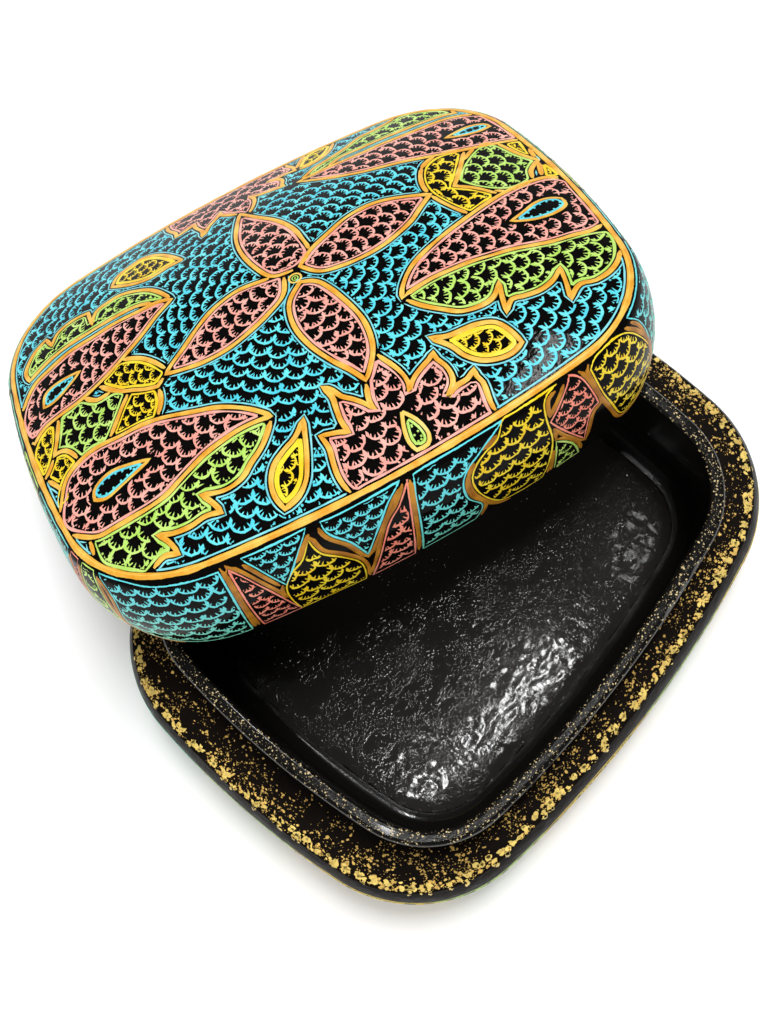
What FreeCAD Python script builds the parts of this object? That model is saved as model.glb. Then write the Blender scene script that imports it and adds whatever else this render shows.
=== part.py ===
import FreeCAD, Part
import Sketcher
import math
import os

# Hand-painted papier mache box, open: a base with a raised inner collar, and its loose domed lid.
#
# Millimetres, +Z up. The origin is the middle of the base's underside, the base's long side runs along X
# and its front faces -Y. The lid isn't hinged. It lies askew behind the open base as it was put down: its
# rim bears on the collar at two places, and one back corner of the rim stands on the table.

# The driving sizes, in millimetres and degrees.
SIZES = {
    # Outer outline at the seat, shared by both halves: half sizes, corners and the bow of its four sides.
    "half_length": 75.0,
    "half_width": 59.4,
    "corner_round": 31.8,
    "end_bow": 230.0,
    "side_bow": 296.0,
    # Base shell: a bellied wall with a flat seat on top, over a flat floor.
    "seat_height": 21.8,
    "base_belly": 3.0,
    "base_belly_height": 12.0,
    "foot_inset": 1.2,
    "foot_round": 1.0,
    "floor_thickness": 2.6,
    "seat_edge_round": 0.8,
    # Width of the seat at the ends and along the sides, and the corner of the opening that it leaves.
    "end_seat": 11.8,
    "side_seat": 6.9,
    "opening_corner_round": 24.6,
    # Inner collar: the strip that lines the opening and stands proud of the seat.
    "collar_height": 13.4,
    "collar_thickness": 3.6,
    "collar_edge_round": 1.1,
    "cove_round": 4.4,
    "cove_foot": 0.8,
    # Floor lining: the crinkled sheet laid inside the collar's cove.
    "lining_gap": 0.15,
    # Lid shell: a bellied wall, a rounded shoulder and a low dome.
    "lid_clearance": 0.8,
    "lid_wall_height": 25.4,
    "lid_belly": 2.2,
    "lid_belly_height": 11.0,
    "shoulder_inset": 0.3,
    "shoulder_round": 3.2,
    "dome_height": 12.0,
    "crown_thickness": 4.6,
    "rim_round": 0.6,
    # How the lid was put down: its turn, the place of its middle, and the gap left at each contact.
    "lid_turn": -22.0,
    "lid_shift_x": 18.2,
    "lid_shift_y": 50.1,
    "rest_gap": 0.3,
}

# The dome's sections, as shares of the shoulder's outline. Each rises by one less the square of its share.
DOME_SHARES = (0.94, 0.8, 0.6, 0.36, 0.12)

# The step between the points of an outline where the lid's contacts are looked for, as a share of its length.
CONTACT_STEP_SHARE = 0.0005
# The first guess for the lid's slope, in degrees, and the step used to improve it.
FIRST_SLOPE = -20.0
SLOPE_STEP = 0.01
SETTLE_ROUNDS = 12
# How near an edge must lie to an outline to belong to it, and how many arcs an outline has.
EDGE_SLACK = 0.001
OUTLINE_ARCS = 8

doc = FreeCAD.newDocument("papier_mache_box")


def fill_sheet():
    """Put the driving sizes into a sheet, one alias for each."""
    page = doc.addObject("Spreadsheet::Sheet", "sizes")
    for row, (name, size) in enumerate(SIZES.items(), start=1):
        page.set(f"A{row}", name)
        page.set(f"B{row}", str(size))
        page.setAlias(f"B{row}", name)
    doc.recompute()
    return page


sheet = fill_sheet()


def cell(name):
    """The expression that names one size of the sheet."""
    return f"sizes.{name}"


def value(expression):
    """The number that an expression stands for now."""
    return float(sheet.evalExpression(expression))


# An outline is five expressions: half length, half width, corner round, end bow and side bow.
OUTER = tuple(cell(name) for name in ("half_length", "half_width", "corner_round", "end_bow", "side_bow"))
OPENING = (
    f"{cell('half_length')} - {cell('end_seat')}",
    f"{cell('half_width')} - {cell('side_seat')}",
    cell("opening_corner_round"),
    f"{cell('end_bow')} - {cell('end_seat')}",
    f"{cell('side_bow')} - {cell('side_seat')}",
)


def inset(outline, depth):
    """The same outline moved inwards everywhere by a depth; a negative depth moves it outwards."""
    return tuple(f"({size}) - ({depth})" for size in outline)


def shrunk(outline, share):
    """The same outline scaled about its middle."""
    return tuple(f"({size}) * {share}" for size in outline)


def corner_of(outline):
    """Numbers of an outline, the middle of its corner arc, and where that arc starts and ends."""
    half_length, half_width, corner, end_bow, side_bow = (value(size) for size in outline)
    end_middle = half_length - end_bow
    side_middle = half_width - side_bow
    # The corner's middle lies on a circle about each bow's middle.
    from_end = end_bow - corner
    from_side = side_bow - corner
    apart = math.hypot(end_middle, side_middle)
    along = (from_end**2 - from_side**2 + apart**2) / (2 * apart)
    across = math.sqrt(from_end**2 - along**2)
    step_x = -end_middle / apart
    step_y = side_middle / apart
    corner_x = end_middle + step_x * along - step_y * across
    corner_y = step_y * along + step_x * across
    start = math.atan2(corner_y, corner_x - end_middle)
    finish = math.atan2(corner_y - side_middle, corner_x)
    return {
        "end_bow": end_bow,
        "side_bow": side_bow,
        "corner": corner,
        "end_middle": end_middle,
        "side_middle": side_middle,
        "x": corner_x,
        "y": corner_y,
        "start": start,
        "finish": finish,
    }


def arcs_of(outline):
    """The eight arcs of an outline, anticlockwise from +X: middle, radius, start and end angle."""
    at = corner_of(outline)
    start, finish, half_turn = at["start"], at["finish"], math.pi
    full_turn = 2 * half_turn
    return [
        (at["end_middle"], 0, at["end_bow"], -start, start),
        (at["x"], at["y"], at["corner"], start, finish),
        (0, at["side_middle"], at["side_bow"], finish, half_turn - finish),
        (-at["x"], at["y"], at["corner"], half_turn - finish, half_turn - start),
        (-at["end_middle"], 0, at["end_bow"], half_turn - start, half_turn + start),
        (-at["x"], -at["y"], at["corner"], half_turn + start, half_turn + finish),
        (0, -at["side_middle"], at["side_bow"], half_turn + finish, full_turn - finish),
        (at["x"], -at["y"], at["corner"], full_turn - finish, full_turn - start),
    ]


def outline_sketch(body, name, outline, height):
    """A closed sketch of an outline, level with the body's XY plane and raised by a height."""
    sketch = body.newObject("Sketcher::SketchObject", name)
    level = next(plane for plane in body.Origin.OriginFeatures if plane.Role == "XY_Plane")
    sketch.AttachmentSupport = [(level, "")]
    sketch.MapMode = "FlatFace"
    sketch.setExpression("AttachmentOffset.Base.z", height)
    for middle_x, middle_y, radius, start, end in arcs_of(outline):
        middle = FreeCAD.Vector(middle_x, middle_y, 0)
        circle = Part.Circle(middle, FreeCAD.Vector(0, 0, 1), radius)
        sketch.addGeometry(Part.ArcOfCircle(circle, start, end), False)
    count = sketch.GeometryCount
    for index in range(count):
        sketch.addConstraint(Sketcher.Constraint("Tangent", index, 2, (index + 1) % count, 1))
    at = corner_of(outline)
    half_length, half_width, corner, end_bow, side_bow = outline
    for pair in ((0, 4), (2, 6), (1, 3), (3, 5), (5, 7)):
        sketch.addConstraint(Sketcher.Constraint("Equal", *pair))
    # The bows' middles lie on the axes, each pair alike on both sides of the origin.
    sketch.addConstraint(Sketcher.Constraint("PointOnObject", 0, 3, -1))
    sketch.addConstraint(Sketcher.Constraint("Symmetric", 0, 3, 4, 3, -1, 1))
    sketch.addConstraint(Sketcher.Constraint("PointOnObject", 2, 3, -2))
    sketch.addConstraint(Sketcher.Constraint("Symmetric", 2, 3, 6, 3, -1, 1))
    driven = (
        ("end_radius", Sketcher.Constraint("Radius", 0, at["end_bow"]), end_bow),
        ("side_radius", Sketcher.Constraint("Radius", 2, at["side_bow"]), side_bow),
        ("corner_radius", Sketcher.Constraint("Radius", 1, at["corner"]), corner),
        (
            "end_reach",
            Sketcher.Constraint("DistanceX", 0, 3, -1, 1, -at["end_middle"]),
            f"({end_bow}) - ({half_length})",
        ),
        (
            "side_reach",
            Sketcher.Constraint("DistanceY", 2, 3, -1, 1, -at["side_middle"]),
            f"({side_bow}) - ({half_width})",
        ),
    )
    for title, constraint, expression in driven:
        sketch.renameConstraint(sketch.addConstraint(constraint), title)
        sketch.setExpression(f"Constraints.{title}", expression)
    sketch.Visibility = False
    return sketch


def new_body(name):
    """An empty body whose label names its file."""
    body = doc.addObject("PartDesign::Body", name)
    body.Label = name
    return body


def loft(body, kind, name, sketches):
    """An additive or subtractive loft through sketches, in order."""
    feature = body.newObject(f"PartDesign::{kind}", name)
    feature.Profile = sketches[0]
    feature.Sections = sketches[1:]
    feature.Ruled = False
    doc.recompute()
    return feature


def pad(body, name, sketch, height):
    """A straight pad upwards from a sketch."""
    feature = body.newObject("PartDesign::Pad", name)
    feature.Profile = sketch
    feature.setExpression("Length", height)
    doc.recompute()
    return feature


def pocket(body, name, sketch, depth):
    """A straight pocket upwards from a sketch."""
    feature = body.newObject("PartDesign::Pocket", name)
    feature.Profile = sketch
    feature.setExpression("Length", depth)
    feature.Reversed = True
    before = body.Shape.Volume
    doc.recompute()
    if feature.Shape.Volume >= before:
        raise RuntimeError(f"{name} cuts nothing")
    return feature


def round_edges(body, name, base, height, outline, radius):
    """Round the edges of a feature that lie level at a height and on an outline."""
    level = value(height)
    half_length = value(outline[0])
    edges = []
    for index, edge in enumerate(base.Shape.Edges, start=1):
        box = edge.BoundBox
        flat = abs(box.ZMin - level) < EDGE_SLACK and abs(box.ZMax - level) < EDGE_SLACK
        if flat and on_outline(edge, outline):
            edges.append(f"Edge{index}")
    if len(edges) != OUTLINE_ARCS:
        raise RuntimeError(f"{name} finds {len(edges)} edges at {level} with half length {half_length}")
    feature = body.newObject("PartDesign::Fillet", name)
    feature.Base = (base, edges)
    feature.setExpression("Radius", radius)
    doc.recompute()
    return feature


def depth_inside(at, x, y):
    """How far a point lies inside an outline, given the outline's corner; negative when outside."""
    x, y = abs(x), abs(y)
    angle = math.atan2(y - at["y"], x - at["x"])
    if at["start"] <= angle <= at["finish"]:
        return at["corner"] - math.hypot(x - at["x"], y - at["y"])
    nearer_end = angle < at["start"] and x > at["x"]
    if nearer_end or (x > at["x"] and y <= at["y"]):
        return at["end_bow"] - math.hypot(x - at["end_middle"], y)
    return at["side_bow"] - math.hypot(x, y - at["side_middle"])


def on_outline(edge, outline):
    """Whether an edge's middle lies on an outline."""
    middle = edge.valueAt((edge.FirstParameter + edge.LastParameter) / 2)
    return abs(depth_inside(corner_of(outline), middle.x, middle.y)) < EDGE_SLACK


def make_base_shell():
    """The moulded tray: a bellied outer wall, a flat floor and the flat seat round the opening."""
    body = new_body("base_shell")
    foot = outline_sketch(body, "base_foot", inset(OUTER, cell("foot_inset")), "0")
    belly = outline_sketch(body, "base_belly", inset(OUTER, f"-{cell('base_belly')}"), cell("base_belly_height"))
    seat = outline_sketch(body, "base_seat", OUTER, cell("seat_height"))
    wall = loft(body, "AdditiveLoft", "base_wall", [seat, belly, foot])
    foot_edge = round_edges(
        body, "base_foot_round", wall, "0", inset(OUTER, cell("foot_inset")), cell("foot_round")
    )
    seat_edge = round_edges(
        body, "base_seat_round", foot_edge, cell("seat_height"), OUTER, cell("seat_edge_round")
    )
    opening = outline_sketch(body, "base_opening", OPENING, cell("floor_thickness"))
    pocket(body, "base_hollow", opening, f"{cell('seat_height')} - {cell('floor_thickness')}")
    return body


def make_inner_collar():
    """The strip that lines the opening: it stands proud of the seat and ends in a coved foot on the floor."""
    body = new_body("inner_collar")
    bore = inset(OPENING, cell("collar_thickness"))
    top = f"{cell('seat_height')} + {cell('collar_height')}"
    outer = outline_sketch(body, "collar_outer", OPENING, cell("floor_thickness"))
    strip = pad(body, "collar_strip", outer, f"{top} - {cell('floor_thickness')}")
    foot_top = f"{cell('floor_thickness')} + {cell('cove_foot')}"
    inner = outline_sketch(body, "collar_inner", bore, foot_top)
    hollow = pocket(body, "collar_hollow", inner, f"{top} - ({foot_top})")
    cove = round_edges(body, "collar_cove", hollow, foot_top, bore, cell("cove_round"))
    window = outline_sketch(
        body, "collar_window", inset(bore, cell("cove_round")), cell("floor_thickness")
    )
    open_foot = pocket(body, "collar_open_foot", window, cell("cove_foot"))
    outer_edge = round_edges(body, "collar_outer_round", open_foot, top, OPENING, cell("collar_edge_round"))
    round_edges(body, "collar_inner_round", outer_edge, top, bore, cell("collar_edge_round"))
    return body


def make_floor_lining():
    """The sheet laid on the floor inside the cove."""
    body = new_body("floor_lining")
    depth = f"{cell('collar_thickness')} + {cell('cove_round')} + {cell('lining_gap')}"
    edge = outline_sketch(body, "lining_edge", inset(OPENING, depth), cell("floor_thickness"))
    pad(body, "lining_sheet", edge, cell("cove_foot"))
    return body


def dome_sections(body, name, outline, foot, rise):
    """Sketches of a low dome over an outline, from its foot up."""
    sections = []
    for index, share in enumerate(DOME_SHARES, start=1):
        height = f"{foot} + ({rise}) * {1 - share**2}"
        sections.append(outline_sketch(body, f"{name}_{index}", shrunk(outline, share), height))
    return sections


def make_lid_shell():
    """The domed lid: a bellied wall, a rounded shoulder and a low dome, hollow from below."""
    body = new_body("lid_shell")
    shoulder = inset(OUTER, cell("shoulder_inset"))
    rim = outline_sketch(body, "lid_rim", OUTER, "0")
    belly = outline_sketch(body, "lid_belly", inset(OUTER, f"-{cell('lid_belly')}"), cell("lid_belly_height"))
    wall_top = outline_sketch(body, "lid_wall_top", shoulder, cell("lid_wall_height"))
    loft(body, "AdditiveLoft", "lid_wall", [rim, belly, wall_top])
    dome_foot = outline_sketch(body, "lid_dome_foot", shoulder, cell("lid_wall_height"))
    outer_dome = dome_sections(body, "lid_dome", shoulder, cell("lid_wall_height"), cell("dome_height"))
    crown = loft(body, "AdditiveLoft", "lid_crown", [dome_foot] + outer_dome)
    soft = round_edges(
        body, "lid_shoulder", crown, cell("lid_wall_height"), shoulder, cell("shoulder_round")
    )
    edge = round_edges(body, "lid_rim_round", soft, "0", OUTER, cell("rim_round"))
    cavity = inset(OPENING, f"-{cell('lid_clearance')}")
    ceiling = f"{cell('lid_wall_height')} - {cell('crown_thickness')}"
    mouth = outline_sketch(body, "lid_mouth", cavity, "0")
    pocket(body, "lid_hollow", mouth, ceiling)
    vault_foot = outline_sketch(body, "lid_vault_foot", cavity, ceiling)
    vault = dome_sections(body, "lid_vault", cavity, ceiling, cell("dome_height"))
    loft(body, "SubtractiveLoft", "lid_vault_cut", [vault_foot] + vault)
    return body


def line_of(outline, height):
    """Points along an outline, about evenly spaced, as vectors at one height."""
    arcs = arcs_of(outline)
    length = sum(radius * (end - start) for _, _, radius, start, end in arcs)
    points = []
    for middle_x, middle_y, radius, start, end in arcs:
        count = max(1, round(radius * (end - start) / (length * CONTACT_STEP_SHARE)))
        for index in range(count):
            angle = start + (end - start) * index / count
            x = middle_x + radius * math.cos(angle)
            y = middle_y + radius * math.sin(angle)
            points.append(FreeCAD.Vector(x, y, value(height)))
    return points


def rim_line(depth, height):
    """Points of the outer outline moved inwards, all the way round at one height."""
    return line_of(inset(OUTER, depth), height)


def lid_placement(roll, pitch, height):
    """The lid's place for a slope about its own long and short sides and a height of its rim's middle."""
    rotation = FreeCAD.Rotation(value(cell("lid_turn")), pitch, roll)
    middle = FreeCAD.Vector(value(cell("lid_shift_x")), value(cell("lid_shift_y")), height)
    return FreeCAD.Placement(middle, rotation)


def settle_lid():
    """The place where the rim bears on the collar left and right and a back corner stands on the table.

    Each contact keeps the rest gap. The collar's edges and the rim's edge are rounded, so the gaps are
    measured from the middle lines of those rounds.
    """
    collar_round = value(cell("collar_edge_round"))
    rim_round = value(cell("rim_round"))
    gap = value(cell("rest_gap"))
    round_height = f"{cell('seat_height')} + {cell('collar_height')} - {cell('collar_edge_round')}"
    outer_line = line_of(inset(OPENING, cell("collar_edge_round")), round_height)
    inner_depth = f"{cell('collar_thickness')} - {cell('collar_edge_round')}"
    inner_line = line_of(inset(OPENING, inner_depth), round_height)
    collar_points = outer_line + inner_line
    rim_points = rim_line(cell("rim_round"), cell("rim_round"))
    outside = corner_of(OUTER)
    cavity = corner_of(inset(OPENING, f"-{cell('lid_clearance')}"))

    def misfit(slope):
        place = lid_placement(*slope)
        back = place.inverse()
        clear = {"left": math.inf, "right": math.inf}
        for point in collar_points:
            local = back.multVec(point)
            under_rim = depth_inside(outside, local.x, local.y) > 0 > depth_inside(cavity, local.x, local.y)
            if under_rim:
                side = "left" if local.x < 0 else "right"
                clear[side] = min(clear[side], -local.z - collar_round)
        lowest = min(place.multVec(point).z for point in rim_points) - rim_round
        return [clear["left"] - gap, clear["right"] - gap, lowest - gap]

    slope = [FIRST_SLOPE, 0.0, value(f"{cell('seat_height')}")]
    for _ in range(SETTLE_ROUNDS):
        here = misfit(slope)
        columns = []
        for index in range(len(slope)):
            moved = list(slope)
            moved[index] += SLOPE_STEP
            columns.append([(there - at) / SLOPE_STEP for there, at in zip(misfit(moved), here)])
        matrix = FreeCAD.Matrix(
            columns[0][0], columns[1][0], columns[2][0], 0,
            columns[0][1], columns[1][1], columns[2][1], 0,
            columns[0][2], columns[1][2], columns[2][2], 0,
            0, 0, 0, 1,
        )
        step = matrix.inverse().multVec(FreeCAD.Vector(*here))
        slope = [slope[0] - step.x, slope[1] - step.y, slope[2] - step.z]
    print("lid slope and height", slope, "misfit", misfit(slope))
    return lid_placement(*slope)


def check(bodies):
    """Stop if any object failed or any piece is empty or broken."""
    doc.recompute()
    for item in doc.Objects:
        if "Invalid" in item.State or "Error" in item.State:
            raise RuntimeError(f"{item.Name} failed: {item.State}")
    for body in bodies:
        if body.Shape.isNull() or not body.Shape.isValid() or len(body.Shape.Solids) != 1:
            raise RuntimeError(f"{body.Label} isn't one sound solid")
        print(body.Label, round(body.Shape.Volume), body.Shape.BoundBox)


bodies = [make_base_shell(), make_inner_collar(), make_floor_lining(), make_lid_shell()]
bodies[-1].Placement = settle_lid()
check(bodies)
os.makedirs("parts", exist_ok=True)
for body in bodies:
    body.Shape.exportStep(f"parts/{body.Label}.step")
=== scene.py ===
import math
import random

import bmesh
import bpy
from bpy.props import FloatProperty, FloatVectorProperty, IntProperty, PointerProperty
from mathutils import Matrix, Vector, noise
from mathutils.bvhtree import BVHTree


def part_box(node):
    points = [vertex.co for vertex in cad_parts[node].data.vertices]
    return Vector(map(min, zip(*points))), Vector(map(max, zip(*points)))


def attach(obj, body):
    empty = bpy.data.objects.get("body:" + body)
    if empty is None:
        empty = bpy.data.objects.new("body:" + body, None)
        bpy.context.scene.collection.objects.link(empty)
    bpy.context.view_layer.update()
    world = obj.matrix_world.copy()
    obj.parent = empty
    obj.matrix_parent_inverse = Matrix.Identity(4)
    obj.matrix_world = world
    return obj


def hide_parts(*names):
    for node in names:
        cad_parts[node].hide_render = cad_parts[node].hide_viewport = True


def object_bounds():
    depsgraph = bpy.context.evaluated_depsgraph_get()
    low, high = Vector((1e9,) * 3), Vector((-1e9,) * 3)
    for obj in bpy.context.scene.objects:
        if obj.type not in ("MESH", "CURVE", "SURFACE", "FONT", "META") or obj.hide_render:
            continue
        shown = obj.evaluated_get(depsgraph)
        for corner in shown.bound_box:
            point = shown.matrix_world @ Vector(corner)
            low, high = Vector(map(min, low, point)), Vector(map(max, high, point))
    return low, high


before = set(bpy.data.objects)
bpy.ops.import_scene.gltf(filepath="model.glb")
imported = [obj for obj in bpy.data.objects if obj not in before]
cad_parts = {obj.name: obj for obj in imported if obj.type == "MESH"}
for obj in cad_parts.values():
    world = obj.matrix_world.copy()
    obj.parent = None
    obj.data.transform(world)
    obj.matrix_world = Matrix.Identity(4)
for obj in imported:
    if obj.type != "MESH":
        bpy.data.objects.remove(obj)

bl_info = {
    "name": "Painted papier mache box",
    "version": (1, 0, 0),
    "blender": (4, 5, 0),
    "location": "View3D > Sidebar > Painted Box",
    "description": "Lacquer, hand painted strokes and gold flakes for the lidded papier mache box",
    "category": "Object",
}

MM = 0.001
CAD_BOX = [Vector(corner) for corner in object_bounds()]

# The camera of the photograph: its focal length in pixels of a 768 x 1024 frame, its place in
# millimetres, and the directions of the picture's right, down and depth.
PHOTO_WIDTH = 768
PHOTO_HEIGHT = 1024
PHOTO_FOCAL = 1203.5
CAMERA_PLACE = Vector((-45.32, -51.57, 312.3))
PICTURE_RIGHT = Vector((0.631246, -0.770701, -0.086887))
PICTURE_DOWN = Vector((-0.76082, -0.593578, -0.262332))
PICTURE_DEPTH = Vector((0.150606, 0.231702, -0.961058))
SENSOR_HEIGHT = 24.0

# How the lid was put down: the turn, pitch and roll of its own frame, in degrees, and its middle.
LID_TURN = -22.0
LID_PITCH = 0.4299
LID_ROLL = -22.2653
LID_MIDDLE = Vector((18.2, 50.1, 22.645))
LID_MIDDLE_PIXEL = (330, 330)

# The upright frame of the lid, in which its dome is seen in plan and its wall is unrolled.
LID_FRAME = (
    Matrix.Translation(LID_MIDDLE)
    @ Matrix.Rotation(math.radians(LID_TURN), 4, "Z")
    @ Matrix.Rotation(math.radians(LID_PITCH), 4, "Y")
    @ Matrix.Rotation(math.radians(LID_ROLL), 4, "X")
)
BASE_FRAME = Matrix.Identity(4)

# The lid's wall, in millimetres up its frame: where its outline is read, where it bends into the shoulder
# and that shoulder's radius, how high its panels reach and where the crown band runs.
LID_RING_HEIGHT = 20.0
WALL_BEND = 21.6
SHOULDER_ROUND = 4.2
WALL_FOOT = 0.2
WALL_TOP = 25.9
CROWN_HEIGHT = 27.3

# Outlines of the painted motifs on the lid's dome, as picked in the photograph, in pixels.
FLOWER_MIDDLE = (295, 278)
PETALS = {
    "right": ((300, 266), (311, 249), (329, 232), (345, 218), (362, 208), (380, 201), (401, 197), (420, 195),
              (430, 194), (420, 208), (411, 221), (396, 235), (380, 247), (360, 258), (340, 266), (320, 271)),
    "back": ((288, 272), (270, 276), (253, 266), (241, 253), (236, 240), (237, 225), (240, 214), (256, 217),
             (275, 220), (291, 227), (301, 237), (304, 250), (299, 264)),
    "left": ((284, 279), (256, 283), (235, 292), (213, 309), (197, 328), (184, 347), (171, 365), (166, 374),
             (187, 368), (208, 360), (229, 348), (248, 333), (267, 315), (283, 295)),
    "front": ((300, 282), (316, 281), (330, 288), (345, 300), (360, 315), (369, 331), (373, 349), (370, 368),
              (366, 380), (349, 369), (331, 360), (312, 347), (297, 331), (290, 315), (290, 300)),
}
PAISLEYS = {
    "right_front": ((402, 298), (403, 285), (411, 267), (426, 250), (447, 232), (467, 217), (487, 203),
                    (507, 191), (528, 182), (548, 177), (566, 179), (581, 186), (594, 197), (602, 209),
                    (604, 222), (592, 230), (573, 235), (553, 241), (533, 245), (512, 249), (492, 255),
                    (472, 261), (452, 269), (432, 278), (414, 289)),
    "left_front": ((272, 416), (250, 409), (220, 407), (191, 412), (161, 418), (139, 426), (118, 437),
                   (99, 446), (84, 457), (72, 470), (65, 483), (62, 499), (64, 516), (71, 529), (84, 537),
                   (99, 536), (114, 528), (131, 518), (148, 508), (165, 496), (178, 482), (191, 468),
                   (206, 453), (223, 440), (240, 429), (257, 421)),
    "right_back": ((298, 182), (320, 171), (340, 162), (361, 153), (381, 144), (401, 136), (421, 128),
                   (442, 120), (459, 116), (477, 115), (492, 118), (508, 123), (521, 129), (527, 135),
                   (520, 139), (502, 142), (482, 146), (462, 150), (442, 154), (421, 158), (401, 162),
                   (381, 167), (361, 172), (340, 176), (320, 179)),
    "left_back": ((172, 299), (158, 302), (139, 311), (115, 323), (91, 338), (69, 352), (51, 368), (36, 383),
                  (27, 400), (24, 419), (28, 436), (35, 444), (44, 429), (59, 416), (77, 403), (93, 389),
                  (109, 373), (125, 355), (141, 336), (157, 315)),
}
PAISLEY_EYES = {
    "right_front": ((511, 221), (524, 211), (536, 202), (548, 198), (561, 198), (566, 204), (558, 211),
                    (543, 217), (528, 220)),
    "left_front": ((95, 500), (94, 491), (100, 481), (112, 471), (127, 465), (150, 459), (133, 475),
                   (120, 487), (107, 498)),
    "right_back": ((445, 138), (458, 131), (470, 126), (483, 124), (490, 126), (479, 131), (464, 135)),
    "left_back": ((44, 408), (46, 394), (59, 382), (80, 371), (68, 387), (54, 402)),
}
LEAVES = {
    "right_front": ((398, 305), (416, 293), (434, 283), (454, 274), (474, 266), (494, 260), (514, 254),
                    (535, 250), (555, 246), (575, 240), (594, 235), (606, 230), (616, 242), (619, 257),
                    (611, 270), (596, 280), (580, 284), (571, 299), (566, 282), (560, 267), (553, 280),
                    (540, 290), (523, 296), (512, 299), (507, 313), (502, 296), (499, 281), (494, 296),
                    (482, 305), (462, 311), (442, 309), (421, 305)),
    "left_front": ((277, 419), (258, 426), (241, 434), (224, 445), (208, 458), (194, 472), (181, 487),
                   (168, 501), (151, 513), (133, 524), (116, 534), (100, 541), (88, 543), (93, 551),
                   (103, 562), (118, 573), (135, 577), (147, 572), (157, 564), (165, 556), (179, 554),
                   (169, 542), (157, 535), (174, 533), (191, 526), (206, 516), (222, 512), (213, 503),
                   (201, 495), (225, 490), (242, 478), (251, 463), (263, 444)),
    "right_back": ((300, 180), (320, 168), (341, 157), (361, 148), (381, 139), (401, 131), (421, 123),
                   (442, 116), (456, 113), (440, 111), (420, 112), (401, 117), (385, 124), (372, 131),
                   (358, 138), (345, 148), (330, 158), (314, 168)),
    "left_back": ((174, 294), (150, 290), (123, 294), (107, 303), (96, 312), (92, 325), (88, 313), (72, 321),
                  (58, 333), (52, 346), (46, 340), (34, 354), (26, 372), (30, 381), (48, 362), (66, 347),
                  (88, 333), (113, 318), (137, 306), (158, 298)),
}
LOTUS = (
    (356, 497), (346, 488), (338, 476), (333, 462), (329, 448), (320, 436), (329, 434), (340, 432),
    (349, 432), (341, 421), (336, 408), (332, 397), (322, 387), (332, 390), (341, 396), (353, 399),
    (364, 403), (375, 409), (369, 400), (368, 388), (370, 375), (374, 362), (377, 352), (385, 360),
    (394, 366), (402, 373), (408, 382), (410, 392), (411, 385), (415, 376), (422, 367), (429, 359),
    (433, 352), (437, 359), (445, 365), (451, 373), (453, 383), (448, 397), (452, 390), (459, 384),
    (467, 379), (474, 369), (477, 376), (483, 382), (487, 392), (491, 403), (499, 414), (470, 431),
    (440, 450), (400, 474), (370, 492),
)

# The back lotus is the front one mirrored over the lid's middle, moved along and made lower, in mm.
BACK_LOTUS_SHIFT = -5.5
BACK_LOTUS_EDGE = 57.5
BACK_LOTUS_HEIGHT = 0.8
LOTUS_DROP = ((402, 412), (404, 428), (409, 442), (417, 450), (428, 444), (429, 434), (421, 423), (411, 416))
YELLOW_DROPS = {
    "right": ((430, 338), (447, 336), (462, 330), (477, 324), (495, 322), (510, 330), (522, 342), (512, 353),
              (497, 359), (480, 360), (464, 355), (451, 346)),
    "left": ((303, 419), (306, 444), (307, 465), (306, 480), (299, 496), (285, 509), (275, 497), (271, 482),
             (274, 465), (284, 450), (295, 437)),
    "left_back": ((182, 260), (161, 255), (144, 258), (131, 266), (118, 276), (112, 287), (133, 284),
                  (150, 278), (168, 267)),
    "right_back": ((301, 169), (301, 160), (310, 154), (321, 149), (334, 142), (328, 152), (314, 163)),
}
END_DIAMONDS = {
    "right_yellow": ("yellow", ((423, 166), (440, 159), (467, 154), (459, 172), (454, 186), (476, 188),
                                (498, 193), (484, 205), (465, 211), (450, 206), (434, 195), (421, 181))),
    "right_lime": ("lime", ((461, 182), (470, 165), (479, 152), (499, 149), (517, 153), (538, 160),
                            (531, 170), (530, 180), (507, 189), (484, 184))),
    "right_edge": ("yellow", ((500, 144), (522, 141), (530, 139), (548, 154), (540, 159), (520, 150))),
    "right_corner": ("yellow", ((547, 160), (560, 165), (576, 179), (560, 178), (542, 177))),
    "left_yellow": ("yellow", ((101, 391), (112, 376), (122, 363), (138, 358), (154, 362), (164, 370),
                               (158, 386), (146, 389), (133, 390), (118, 391))),
    "left_inner": ("yellow", ((128, 396), (142, 393), (157, 391), (161, 401), (157, 412), (149, 420),
                              (138, 426), (124, 431), (109, 438), (117, 420), (122, 407))),
    "left_lime": ("lime", ((126, 396), (117, 416), (107, 434), (93, 447), (78, 457), (70, 452), (62, 451),
                           (54, 456), (57, 440), (61, 424), (72, 411), (84, 403), (97, 400), (110, 398))),
    "left_edge": ("yellow", ((58, 426), (55, 440), (52, 456), (50, 470), (47, 480), (41, 468), (35, 454),
                             (45, 438))),
    "left_corner": ("yellow", ((52, 461), (64, 457), (78, 459), (71, 469), (65, 479), (61, 491), (61, 503),
                               (55, 494), (51, 482), (50, 470))),
}

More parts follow.
